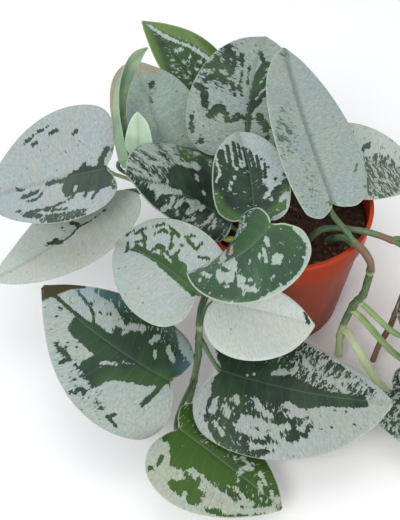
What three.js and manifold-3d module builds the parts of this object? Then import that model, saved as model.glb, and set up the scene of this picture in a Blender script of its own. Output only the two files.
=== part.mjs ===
// Satin pothos (Scindapsus pictus) in a round plastic nursery pot.
// Millimetres, +Z up. The origin is the middle of the pot's underside, which stands on z = 0.
import * as THREE from 'three';
import Module from 'manifold-3d';
import { mergeVertices } from 'three/addons/utils/BufferGeometryUtils.js';

const wasm = await Module();
wasm.setup();

// ---------- driving dimensions ----------

const pot = {
  height: 100,
  lipRadius: 60,
  lipHeight: 3,
  lipOverhang: 1.2,
  collarHeight: 18,
  collarStep: 2.4,
  baseRadius: 47,
  wall: 1.6,
  floor: 2.2,
  sides: 40,
  drainHoles: 5,
  drainRadius: 4,
  drainCircle: 30,
};
const roundOff = 0.6; // how far the pot's corners are cut back
const soilDepthBelowLip = 13;
const soilCrown = 2.5;
const bladeThickness = 0.9;
const endHalfWidth = 0.4; // the least half width of a blade, at its notch and tip
const gap = 0.3; // clearance between pieces that touch
const cellsAcross = 8;
const cellsAlong = 10;
const vineBar = { sides: 8, step: 9 };
const stalkBar = { sides: 6, step: 6, radius: 1.4 };
const shoot = { length: 10, footRadius: 1.9, radius: 2.4, sides: 8 };

// How a stalk runs: it rises as it leaves its vine, it comes to the blade from behind and below,
// and it ends this far inside the notch and under the blade. All but the last two are shares of
// the straight distance from vine to blade.
const stalkRun = { leave: 0.2, rise: 0.15, behind: 0.21, below: 0.31, inside: 2, under: 0.9 };

// One half of a heart-shaped blade, from the notch at its base round the lobe to its tip:
// x is a share of the half width, y a share of the length.
const heartOutline = [
  [0.05, -0.022], [0.22, -0.07], [0.55, -0.1], [0.87, -0.01], [1, 0.19],
  [0.95, 0.43], [0.73, 0.67], [0.38, 0.87], [0.04, 1],
];

// Vines: they start in the soil, and the long ones pass over the lip and hang outside.
const vines = {
  front: {
    radius: 2.4,
    route: [
      [-12, -32, 80], [-20, -42, 99], [-33, -54, 105], [-47, -65, 96], [-55, -75, 84],
      [-57, -84, 66], [-58, -90, 44], [-61, -97, 26], [-64, -103, 14],
    ],
  },
  left: {
    radius: 2.3,
    route: [
      [-24, 4, 80], [-34, 5, 99], [-52, 4, 105], [-70, 10, 101], [-88, 16, 93],
      [-104, 24, 84], [-114, 30, 74],
    ],
  },
  back: {
    radius: 2.3,
    route: [
      [-16, 18, 80], [-19, 22, 98], [-24, 34, 105], [-28, 48, 106], [-29, 64, 99], [-27, 73, 86],
    ],
  },
  centre: {
    radius: 2.2,
    route: [[-22, -18, 80], [-26, -26, 91], [-30, -30, 95], [-34, -32, 97]],
  },
  right: {
    radius: 2.7,
    route: [
      [24, -22, 80], [34, -33, 100], [44, -45, 105], [51, -50, 98], [53.5, -50, 88],
      [54, -48, 72], [53, -48, 58], [48, -48, 46], [42, -54, 26], [41, -64, 10],
    ],
  },
  right_upper: {
    radius: 2.2,
    route: [
      [12, -27, 80], [19, -27, 97], [28, -27, 102], [48, -32, 105], [66, -39, 104], [84, -42, 94],
      [91, -32, 76], [90, -26, 56], [84, -36, 37], [76, -51, 25], [69, -60, 18], [65, -67, 8],
    ],
  },
  far_right: {
    radius: 2.2,
    route: [[22, 2, 80], [24, 6, 96], [27, 12, 103]],
  },
  rear: {
    radius: 2.2,
    route: [[4, 30, 80], [6, 42, 100], [10, 56, 105], [14, 67, 98], [16, 72, 84]],
  },
};

// Leaves. base is where the blade meets its stalk. The midrib starts out at heading (degrees
// from +X towards +Y) and pitch (above level); roll turns the blade's right edge down. From
// base to tip the midrib bends by droop (down) and sweep (heading), and lean makes the right
// half wider. Across, the halves rise by fold at the midrib and by cup more towards the margin;
// curlRight rolls the outer part of the right half over. lobe scales the lobes at the base, and
// bluntLeft widens the left half towards the tip by this share.
// vine and at say where on which vine, as a share of its length, the stalk starts. look names
// the blade's material.
const leaves = [
  {
    name: 'back_rolled', base: [-35, 84, 98], heading: 138, pitch: 37, roll: 2,
    length: 97, width: 60, droop: 16, sweep: 2, fold: 15, curlRight: 135, vine: 'back', at: 0.5,
    look: 'mottled',
  },
  {
    name: 'top_mottled', base: [-27, 24, 129], heading: 82, pitch: 47, roll: 1,
    length: 93, width: 74, droop: 61, sweep: -6, fold: 8, cup: -18, lean: -0.06,
    vine: 'back', at: 0.2,
    look: 'mottled',
  },
  {
    name: 'right_silver', base: [27, -28, 126], heading: 116, pitch: 38, roll: 20,
    length: 116, width: 66, droop: 32, sweep: -21, fold: 10, cup: -2, lobe: 0.5,
    vine: 'right', at: 0.25,
    look: 'silver',
  },
  {
    name: 'far_right', base: [32, 22, 112], heading: 11, pitch: -2, roll: 14,
    length: 74, width: 62, droop: 36, fold: 6, cup: 3, vine: 'far_right', at: 0.5,
    look: 'mottled',
  },
  {
    name: 'left_upper', base: [-119, 9, 121], heading: 180, pitch: -16, roll: -12,
    length: 92, width: 91, droop: 6, fold: 10, lean: 0.07, vine: 'left', at: 0.74,
    look: 'silver',
  },
  {
    name: 'left_lower', base: [-116, 12, 96], heading: 220, pitch: -28, roll: 4,
    length: 102, width: 69, droop: -16, sweep: -17, fold: 4, cup: -10, vine: 'left', at: 0.88,
    look: 'silver',
  },
  {
    name: 'back_left', base: [-78, 29, 112], heading: 112, pitch: 40, roll: 6,
    length: 88, width: 64, droop: 50, sweep: -5, fold: 8, lobe: 0.3, vine: 'left', at: 0.49,
    look: 'silver',
  },
  {
    name: 'centre_left', base: [-36, -29.4, 108.5], heading: 161, pitch: 37, roll: -20,
    length: 83, width: 76, sweep: 48, fold: -8, cup: -40, lean: 0.25, bluntLeft: 0.45, lobe: 0.2,
    vine: 'centre', at: 0.48,
    look: 'mottled',
  },
  {
    name: 'centre_small', base: [-23, -37, 128], heading: 93, pitch: 34, roll: 0,
    length: 60, width: 52, droop: 36, sweep: 12, fold: 16, cup: 10, lean: -0.03, vine: 'front', at: 0.16,
    look: 'mottled',
  },
  {
    name: 'glossy_heart', base: [-16, -71, 154], heading: 232, pitch: -25, roll: 6,
    length: 60, width: 67, droop: 3, sweep: -74, fold: -19, cup: -23, lean: 0.03, lobe: 1.25,
    vine: 'front', at: 0.26,
    look: 'mottled',
  },
  {
    name: 'front_left', base: [-59, -82.6, 105.9], heading: 136, pitch: 15, roll: -25,
    length: 71, width: 66, droop: 42, sweep: 5, fold: 14, cup: -4, lean: -0.03,
    vine: 'front', at: 0.47,
    look: 'mottled',
  },
  {
    name: 'front_silver', base: [-48, -83, 98], heading: 3, pitch: -20, roll: 13,
    length: 72, width: 57, droop: 10, sweep: 1, fold: 9, cup: -5, lean: 0.15,
    vine: 'front', at: 0.6,
    look: 'silver',
  },
  {
    name: 'low_left', base: [-76, -111, 52], heading: 165, pitch: 29, roll: -14,
    length: 99, width: 84, droop: -4, sweep: -19, fold: 1, cup: -22, lean: -0.05, bluntLeft: -0.35,
    vine: 'front', at: 0.76,
    look: 'mottled',
  },
  {
    name: 'low_right', base: [-42, -104, 52], heading: -19, pitch: -4, roll: 10,
    length: 110, width: 87, droop: 3, sweep: 20, fold: -2, cup: -14, lean: 0.04,
    vine: 'front', at: 0.67,
    look: 'mottled',
  },
  {
    name: 'bottom', base: [-69, -139, 40], heading: -33, pitch: -14, roll: -10,
    length: 78, width: 71, droop: -4, sweep: -6, fold: 3, cup: -14, lean: 0.1,
    vine: 'front', at: 0.9,
    look: 'mottled',
  },
  {
    name: 'young_rolled', base: [-108, 13, 122], heading: 116, pitch: 60, roll: 45,
    length: 86, width: 22, droop: 52, sweep: -74, fold: 12, cup: 120, lobe: 0.3, vine: 'left', at: 0.67,
    look: 'young',
  },
  {
    name: 'young_pale', base: [-96, 14.6, 132.1], heading: 94, pitch: 60, roll: 0,
    length: 25, width: 18.5, droop: 4, fold: 6, cup: 30, vine: 'left', at: 0.58,
    look: 'young',
  },
  {
    name: 'right_upper', base: [94, -40, 112], heading: 24, pitch: 8, roll: -6,
    length: 80, width: 62, droop: 36, fold: 6, cup: -6, vine: 'right_upper', at: 0.34,
    look: 'mottled',
  },
  {
    name: 'right_middle', base: [80, -71, 46], heading: 4, pitch: 8, roll: 6,
    length: 78, width: 52, droop: 34, fold: 6, cup: -6, lobe: 0.3, vine: 'right', at: 0.69,
    look: 'mottled',
  },
  {
    name: 'right_outer', base: [86, -82, 32], heading: -14, pitch: 2, roll: 6,
    length: 76, width: 58, droop: 20, fold: 6, cup: -6, vine: 'right', at: 0.75,
    look: 'mottled',
  },
  {
    name: 'right_low', base: [72, -100, 22], heading: -44, pitch: -4, roll: 0,
    length: 74, width: 56, droop: 4, fold: 6, cup: -6, vine: 'right', at: 0.86,
    look: 'mottled',
  },
  {
    name: 'rear_left', base: [-20, 88, 86], heading: 118, pitch: -30, roll: 0,
    length: 76, width: 58, droop: 30, fold: 6, cup: -6, vine: 'back', at: 0.8,
    look: 'silver',
  },
  {
    name: 'rear_right', base: [24, 74, 92], heading: 70, pitch: -36, roll: 0,
    length: 78, width: 60, droop: 24, fold: 6, cup: -6, vine: 'rear', at: 0.56,
    look: 'silver',
  },
];

// ---------- materials ----------

const plain = (color, roughness) => new THREE.MeshStandardMaterial({ color, roughness, metalness: 0 });
const materials = {
  terracotta: plain('#8f3a2a', 0.55),
  soil: plain('#3a2822', 0.95),
  vine: plain('#5f7d4c', 0.6),
  stalk: plain('#8fa560', 0.55),
  silver: plain('#a9b6ac', 0.45),
  mottled: plain('#61785f', 0.45),
  young: plain('#8fb06a', 0.5),
  shoot: plain('#b9b840', 0.5),
};

// ---------- solids ----------

// A closed mesh as a manifold solid.
function solid(geometry) {
  const bare = geometry.clone();
  bare.deleteAttribute('normal');
  bare.deleteAttribute('uv');
  const merged = mergeVertices(bare, 1e-4);
  const mesh = new wasm.Mesh({
    numProp: 3,
    vertProperties: new Float32Array(merged.attributes.position.array),
    triVerts: new Uint32Array(merged.index.array),
  });
  return new wasm.Manifold(mesh);
}

// A manifold solid as a geometry.
function geometryOf(body) {
  const mesh = body.getMesh();
  const geometry = new THREE.BufferGeometry();
  geometry.setAttribute('position', new THREE.BufferAttribute(mesh.vertProperties, 3));
  geometry.setIndex(new THREE.BufferAttribute(mesh.triVerts, 1));
  geometry.computeVertexNormals();
  return geometry;
}

// A round bar of the given radius along a curve.
function bar(curve, radius, { sides, step }) {
  const steps = Math.max(4, Math.round(curve.getLength() / step));
  const ring = [];
  for (let i = 0; i < sides; i += 1) {
    const turn = (2 * Math.PI * i) / sides;
    ring.push(new THREE.Vector2(radius * Math.cos(turn), radius * Math.sin(turn)));
  }
  const section = new THREE.Shape(ring);
  return new THREE.ExtrudeGeometry(section, { steps, bevelEnabled: false, extrudePath: curve });
}

// ---------- blades ----------

const outlineCurve = new THREE.CatmullRomCurve3(
  heartOutline.map(([x, y]) => new THREE.Vector3(x, y, 0)), false, 'catmullrom');
const radians = THREE.MathUtils.degToRad;

// The blade's own directions at a share of its length: along, to its right, and up from it.
function bladeFrame(leaf, share) {
  const heading = radians(leaf.heading + (leaf.sweep ?? 0) * share);
  const pitch = radians(leaf.pitch - (leaf.droop ?? 0) * share);
  const roll = radians(leaf.roll);
  const along = new THREE.Vector3(
    Math.cos(pitch) * Math.cos(heading), Math.cos(pitch) * Math.sin(heading), Math.sin(pitch));
  const level = new THREE.Vector3(Math.sin(heading), -Math.cos(heading), 0);
  const lift = level.clone().cross(along);
  const side = level.clone().multiplyScalar(Math.cos(roll)).addScaledVector(lift, -Math.sin(roll));
  const up = lift.multiplyScalar(Math.cos(roll)).addScaledVector(level, Math.sin(roll));
  return { along, side, up };
}

// A point of the midrib, found by adding up short steps from the base.
function midribPoint(leaf, share) {
  const steps = 24;
  const inside = THREE.MathUtils.clamp(share, 0, 1);
  const point = new THREE.Vector3(...leaf.base);
  for (let i = 0; i < steps; i += 1) {
    const { along } = bladeFrame(leaf, (inside * (i + 0.5)) / steps);
    point.addScaledVector(along, (leaf.length * inside) / steps);
  }
  return point.addScaledVector(bladeFrame(leaf, inside).along, leaf.length * (share - inside));
}

// A point of the blade: t runs from the notch to the tip, s from the left margin (-1) to the
// right (1), and height is the distance above the blade's middle surface.
function bladePoint(leaf, t, s, height) {
  const margin = outlineCurve.getPoint(t);
  const right = s >= 0;
  const halfWidth = leaf.width * (0.5 + (right ? 1 : -1) * (leaf.lean ?? 0));
  const marginY = margin.y < 0 ? margin.y * (leaf.lobe ?? 1) : margin.y;
  const midY = 0.1 * t + 0.9 * t ** 3; // rows lie close together at the notch
  const share = midY + (marginY - midY) * Math.abs(s);
  const blunt = right ? 0 : (leaf.bluntLeft ?? 0);
  const outlineX = margin.x * (1 + blunt * margin.y ** 3);
  const reach = Math.max(outlineX, endHalfWidth / halfWidth) * Math.abs(s);
  const fold = radians(leaf.fold ?? 0);
  const cup = radians(leaf.cup ?? 0);
  const curl = radians(right ? (leaf.curlRight ?? 0) : 0);
  const slope = (q) => fold + cup * q + curl * q ** 3;
  const slices = 16;
  let across = 0;
  let rise = 0;
  for (let i = 0; i < slices; i += 1) {
    const angle = slope((reach * (i + 0.5)) / slices);
    across += (Math.cos(angle) * reach * halfWidth) / slices;
    rise += (Math.sin(angle) * reach * halfWidth) / slices;
  }
  const { side, up } = bladeFrame(leaf, THREE.MathUtils.clamp(share, 0, 1));
  const tilt = slope(reach);
  const normal = up.clone().multiplyScalar(Math.cos(tilt))
    .addScaledVector(side, -Math.sign(s) * Math.sin(tilt));
  return midribPoint(leaf, share)
    .addScaledVector(side, Math.sign(s) * across)
    .addScaledVector(up, rise)
    .addScaledVector(normal, height);
}

// A blade is a flat box whose grid is bent onto the blade's surface. Each cell of its underside is
// split along the same diagonal as the cell above it, which keeps a curled blade evenly thick.
function bladeGeometry(leaf, thickness) {
  const box = new THREE.BoxGeometry(2, 1, thickness, cellsAcross, cellsAlong, 1);
  const place = box.attributes.position;
  for (let i = 0; i < place.count; i += 1) {
    const point = bladePoint(leaf, place.getY(i) + 0.5, place.getX(i), place.getZ(i));
    place.setXYZ(i, point.x, point.y, point.z);
  }
  const underside = box.groups[5];
  for (let i = underside.start; i < underside.start + underside.count; i += 6) {
    box.index.setX(i + 2, box.index.getX(i + 4));
    box.index.setX(i + 3, box.index.getX(i));
  }
  box.computeVertexNormals();
  return box;
}

// ---------- vines and stalks ----------

function vineCurve(vine) {
  return new THREE.CatmullRomCurve3(
    vine.route.map((point) => new THREE.Vector3(...point)), false, 'catmullrom');
}

function vineGeometry(vine, extra = 0) {
  const curve = vineCurve(vine);
  return bar(curve, vine.radius + extra, vineBar);
}

// A stalk leaves its vine upwards, bows out and meets the blade's notch from below.
function stalkCurve(leaf) {
  const start = vineCurve(vines[leaf.vine]).getPointAt(leaf.at);
  const { along, up } = bladeFrame(leaf, 0);
  const end = new THREE.Vector3(...leaf.base)
    .addScaledVector(along, stalkRun.inside).addScaledVector(up, -stalkRun.under);
  const reach = end.distanceTo(start);
  const leaving = start.clone().lerp(end, stalkRun.leave);
  leaving.z += stalkRun.rise * reach;
  const arriving = end.clone()
    .addScaledVector(along, -stalkRun.behind * reach).addScaledVector(up, -stalkRun.below * reach);
  return new THREE.CubicBezierCurve3(start, leaving, arriving, end);
}

// A stalk is cut back to its blade and its vine.
function stalkGeometry(leaf) {
  const whole = solid(bar(stalkCurve(leaf), stalkBar.radius, stalkBar));
  const blade = solid(bladeGeometry(leaf, bladeThickness + 2 * gap));
  const vine = solid(vineGeometry(vines[leaf.vine], gap));
  return geometryOf(whole.subtract(blade).subtract(vine));
}

// ---------- pot and soil ----------

const collarBottom = pot.height - pot.collarHeight;
const wallRadiusAt = (z) => THREE.MathUtils.mapLinear(
  z, 0, collarBottom, pot.baseRadius, pot.lipRadius - pot.lipOverhang - pot.collarStep);

function potGeometry() {
  const collarRadius = pot.lipRadius - pot.lipOverhang;
  const underLip = pot.height - pot.lipHeight;
  const insideCollar = collarRadius - pot.wall;
  const profile = [
    [0, 0],
    [pot.baseRadius - roundOff, 0],
    [pot.baseRadius, roundOff],
    [wallRadiusAt(collarBottom - roundOff), collarBottom - roundOff],
    [collarRadius - roundOff, collarBottom],
    [collarRadius, underLip],
    [pot.lipRadius, underLip + roundOff],
    [pot.lipRadius, pot.height - roundOff],
    [pot.lipRadius - roundOff, pot.height],
    [insideCollar, pot.height],
    [insideCollar - roundOff, collarBottom + pot.wall],
    [wallRadiusAt(collarBottom) - pot.wall, collarBottom - pot.wall],
    [wallRadiusAt(pot.floor) - pot.wall, pot.floor],
    [0, pot.floor],
  ].map(([r, z]) => new THREE.Vector2(r, z));
  const turned = new THREE.LatheGeometry(profile, pot.sides).rotateX(Math.PI / 2);
  let body = solid(turned);
  for (let i = 0; i < pot.drainHoles; i += 1) {
    const turn = (2 * Math.PI * (i + 0.5)) / pot.drainHoles;
    const hole = new THREE.CylinderGeometry(pot.drainRadius, pot.drainRadius, 4 * pot.floor, 12)
      .rotateX(Math.PI / 2)
      .translate(pot.drainCircle * Math.cos(turn), pot.drainCircle * Math.sin(turn), 0);
    body = body.subtract(solid(hole));
  }
  return geometryOf(body);
}

// The soil fills the pot to below its lip, and each vine stands in a socket of its own.
function soilGeometry() {
  const top = pot.height - soilDepthBelowLip;
  const insideWall = (z) => wallRadiusAt(z) - pot.wall - gap;
  const insideCollar = pot.lipRadius - pot.lipOverhang - pot.wall - roundOff - gap;
  const profile = [
    [0, pot.floor + gap],
    [insideWall(pot.floor), pot.floor + gap],
    [insideWall(collarBottom - pot.wall), collarBottom - pot.wall],
    [insideCollar, collarBottom + pot.wall + gap],
    [insideCollar, top],
    [0.55 * insideCollar, top + 0.8 * soilCrown],
    [0, top + soilCrown],
  ].map(([r, z]) => new THREE.Vector2(r, z));
  let body = solid(new THREE.LatheGeometry(profile, pot.sides).rotateX(Math.PI / 2));
  for (const vine of Object.values(vines)) {
    body = body.subtract(solid(vineGeometry(vine, gap)));
  }
  return geometryOf(body);
}

// The pale growing tip at the end of the short middle vine.
function shootGeometry() {
  const curve = vineCurve(vines.centre);
  const end = curve.getPointAt(1);
  const along = curve.getTangentAt(1);
  const profile = [
    [0, 0],
    [shoot.footRadius, 0],
    [shoot.radius, 0.3 * shoot.length],
    [0.65 * shoot.radius, 0.65 * shoot.length],
    [0, shoot.length],
  ].map(([r, z]) => new THREE.Vector2(r, z));
  const turned = new THREE.LatheGeometry(profile, shoot.sides);
  const stand = new THREE.Quaternion().setFromUnitVectors(new THREE.Vector3(0, 1, 0), along);
  const start = end.addScaledVector(along, gap);
  return turned.applyQuaternion(stand).translate(start.x, start.y, start.z);
}

// ---------- the plant ----------

const plant = new THREE.Group();

function add(name, geometry, material) {
  const mesh = new THREE.Mesh(geometry, material);
  mesh.name = name;
  plant.add(mesh);
}

add('pot', potGeometry(), materials.terracotta);
add('soil', soilGeometry(), materials.soil);
for (const [name, vine] of Object.entries(vines)) {
  add(`vine_${name}`, vineGeometry(vine), materials.vine);
}
add('shoot_tip', shootGeometry(), materials.shoot);
for (const leaf of leaves) {
  add(`leaf_${leaf.name}`, bladeGeometry(leaf, bladeThickness), materials[leaf.look]);
  add(`stalk_${leaf.name}`, stalkGeometry(leaf), materials.stalk);
}

export default plant;
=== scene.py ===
import math

import bpy
import numpy as np
from mathutils import Matrix, Vector


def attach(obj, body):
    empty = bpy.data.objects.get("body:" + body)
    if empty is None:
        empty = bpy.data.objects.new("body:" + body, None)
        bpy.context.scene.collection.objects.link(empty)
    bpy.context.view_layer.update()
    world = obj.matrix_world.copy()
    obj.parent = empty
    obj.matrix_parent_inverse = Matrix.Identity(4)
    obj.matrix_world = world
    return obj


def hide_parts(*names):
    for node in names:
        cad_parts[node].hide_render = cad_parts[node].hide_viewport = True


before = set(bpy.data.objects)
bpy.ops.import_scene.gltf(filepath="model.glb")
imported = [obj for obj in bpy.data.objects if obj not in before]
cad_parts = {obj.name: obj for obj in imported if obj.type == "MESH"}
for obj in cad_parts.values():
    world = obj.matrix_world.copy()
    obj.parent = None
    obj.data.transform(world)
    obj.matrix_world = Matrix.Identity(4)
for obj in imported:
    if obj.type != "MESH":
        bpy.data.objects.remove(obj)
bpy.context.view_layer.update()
mm = 0.001  # sizes below are in mm, angles in degrees


def deselectAll():
    bpy.ops.object.select_all(action="DESELECT")


def pick(piece):
    deselectAll()
    piece.select_set(True)
    bpy.context.view_layer.objects.active = piece


def named(piece, name):
    piece.name = name
    piece.data.name = name
    return piece


def applyPlace(piece):
    pick(piece)
    bpy.ops.object.transform_apply(location=True, rotation=True, scale=True)


def modify(piece, kind, **settings):
    pick(piece)
    bpy.ops.object.modifier_add(type=kind)
    modifier = piece.modifiers[-1]
    for key, value in settings.items():
        setattr(modifier, key, value)
    bpy.ops.object.modifier_apply(modifier=modifier.name)


def editAll():  # goes into edit mode with everything selected
    bpy.ops.object.mode_set(mode="EDIT")
    bpy.ops.mesh.select_all(action="SELECT")


def turnOutwards():  # and leaves edit mode
    bpy.ops.mesh.select_all(action="SELECT")
    bpy.ops.mesh.normals_make_consistent(inside=False)
    bpy.ops.object.mode_set(mode="OBJECT")


def corners(mesh):
    flat = np.empty(3 * len(mesh.vertices), dtype=np.float32)
    mesh.vertices.foreach_get("co", flat)
    return flat.reshape(-1, 3)


def moveCorners(mesh, places):
    mesh.vertices.foreach_set("co", places.astype(np.float32).ravel())


def addPainted(mesh, name, kind, values):
    layer = mesh.attributes.new(name, kind, "POINT")
    key = "value" if kind == "FLOAT" else "vector"
    layer.data.foreach_set(key, np.ascontiguousarray(values, dtype=np.float32).ravel())


def putOn(piece, slotName, *nodes):
    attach(piece, "root")
    if nodes:
        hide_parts(*nodes)


def wear(piece, *materials):
    piece.data.materials.clear()
    for material in materials:
        piece.data.materials.append(material)


def linear(code):  # "#rrggbb" as seen on a screen, to the numbers a shader takes
    parts = [int(code[i:i + 2], 16) / 255 for i in (1, 3, 5)]
    return (*[c / 12.92 if c <= 0.04045 else ((c + 0.055) / 1.055) ** 2.4 for c in parts], 1)


def ease(low, high, value):  # 0 below low, 1 above high, smooth between
    share = np.clip((value - low) / (high - low), 0, 1)
    return share * share * (3 - 2 * share)


def bell(value, width, middle=0.0):  # 1 at the middle, fading to both sides
    return np.exp(-((value - middle) / width) ** 2)


def unit(vectors):
    return vectors / np.linalg.norm(vectors, axis=-1, keepdims=True)


def runAlong(line):  # how far along the line each of its points is
    return np.concatenate([[0], np.cumsum(np.linalg.norm(np.diff(line, axis=0), axis=1))])


def smoothThrough(points, share):  # a smooth line through the points, as the vines and margins run
    points = np.asarray(points, float)
    last = len(points) - 1
    at = np.clip(np.asarray(share, float), 0, 1) * last
    first = np.minimum(at.astype(int), last - 1)
    rest = (at - first)[..., None]
    point = lambda i: points[np.clip(i, 0, last)]
    p1, p2 = point(first), point(first + 1)
    p0 = np.where((first == 0)[..., None], 2 * p1 - p2, point(first - 1))
    p3 = np.where((first == last - 1)[..., None], 2 * p2 - p1, point(first + 2))
    return 0.5 * (2 * p1 + (p2 - p0) * rest + (2 * p0 - 5 * p1 + 4 * p2 - p3) * rest ** 2
                  + (3 * p1 - p0 - 3 * p2 + p3) * rest ** 3)


class Wire:  # a socket that can be added, multiplied and so on
    def __init__(self, socket):
        self.socket = socket

    def maths(self, kind, other, swapped=False):
        node = self.socket.id_data.nodes.new("ShaderNodeMath")
        node.operation = kind
        for slot, value in zip(node.inputs, (other, self) if swapped else (self, other)):
            plug(slot, value)
        return Wire(node.outputs[0])

    def __add__(self, other):
        return self.maths("ADD", other)

    def __sub__(self, other):
        return self.maths("SUBTRACT", other)

    def __rsub__(self, other):
        return self.maths("SUBTRACT", other, True)

    def __mul__(self, other):
        return self.maths("MULTIPLY", other)

    def __pow__(self, other):
        return self.maths("POWER", other)

    __radd__ = __add__
    __rmul__ = __mul__


def plug(slot, value):
    if isinstance(value, Wire):
        slot.id_data.links.new(value.socket, slot)
    else:
        slot.default_value = linear(value) if isinstance(value, str) else value


class Finish:  # a material with one Principled shader, and ways to add nodes to it
    def __init__(self, name, **fixed):
        self.material = bpy.data.materials.new(name)
        self.material.use_nodes = True
        self.nodes = self.material.node_tree.nodes
        self.shader = self.nodes["Principled BSDF"]
        for key, value in fixed.items():
            self.set(key.replace("_", " "), value)

    def node(self, kind, settings=None, inputs=None, output=0):
        node = self.nodes.new("ShaderNode" + kind)
        for key, value in (settings or {}).items():
            setattr(node, key, value)
        for key, value in (inputs or {}).items():
            plug(node.inputs[key], value)
        return Wire(node.outputs[output])

    def painted(self, name, output="Vector"):
        return self.node("Attribute", {"attribute_name": name}, None, output)

    def parts(self, vector):
        first = self.node("SeparateXYZ", None, {"Vector": vector})
        return [Wire(socket) for socket in first.socket.node.outputs]

    def stretch(self, vector, by, shift=(0, 0, 0)):
        return self.node("Mapping", None, {"Vector": vector, "Scale": by, "Location": shift})

    def noise(self, vector, by=1.0, detail=2.0, roughness=0.5, shift=(0, 0, 0)):
        if isinstance(by, tuple):
            vector, by = self.stretch(vector, by, shift), 1.0
        return self.node("TexNoise", None, {"Vector": vector, "Scale": by, "Detail": detail,
                                            "Roughness": roughness})

    def step(self, value, low, high):  # 0 below low, 1 above high, smooth between
        return self.node("MapRange", {"interpolation_type": "SMOOTHSTEP"},
                         {"Value": value, "From Min": low, "From Max": high})

    def blend(self, factor, first, second, kind="MIX"):
        return self.node("Mix", {"data_type": "RGBA", "blend_type": kind},
                         {0: factor, 6: first, 7: second}, 2)

    def bump(self, height, distance, strength=1.0):
        self.set("Normal", self.node("Bump", None, {"Height": height, "Distance": distance,
                                                    "Strength": strength}, "Normal"))

    def set(self, name, value):
        plug(self.shader.inputs[name], value)


# Radius of each vine and the places that it runs through, from the soil to its end.
vineRuns = {
    "front": dict(radius=2.4, route=[(-12, -32, 80), (-20, -42, 99), (-33, -54, 105), (-47, -65, 96),
        (-55, -75, 84), (-57, -84, 66), (-58, -90, 44), (-61, -97, 26), (-64, -103, 14)]),
    "left": dict(radius=2.3, route=[(-24, 4, 80), (-34, 5, 99), (-52, 4, 105), (-70, 10, 101),
        (-88, 16, 93), (-104, 24, 84), (-114, 30, 74)]),
    "back": dict(radius=2.3, route=[(-16, 18, 80), (-19, 22, 98), (-24, 34, 105), (-28, 48, 106),
        (-29, 64, 99), (-27, 73, 86)]),
    "centre": dict(radius=2.2, route=[(-22, -18, 80), (-26, -26, 91), (-30, -30, 95), (-34, -32, 97)]),
    "right": dict(radius=2.7, route=[(24, -22, 80), (34, -33, 100), (44, -45, 105), (51, -50, 98),
        (53.5, -50, 88), (54, -48, 72), (53, -48, 58), (48, -48, 46), (42, -54, 26), (41, -64, 10)]),
    "right_upper": dict(radius=2.2, route=[(12, -27, 80), (19, -27, 97), (28, -27, 102), (48, -32, 105),
        (66, -39, 104), (84, -42, 94), (91, -32, 76), (90, -26, 56), (84, -36, 37), (76, -51, 25),
        (69, -60, 18), (65, -67, 8)]),
    "far_right": dict(radius=2.2, route=[(22, 2, 80), (24, 6, 96), (27, 12, 103)]),
    "rear": dict(radius=2.2, route=[(4, 30, 80), (6, 42, 100), (10, 56, 105), (14, 67, 98),
        (16, 72, 84)]),
}

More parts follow.
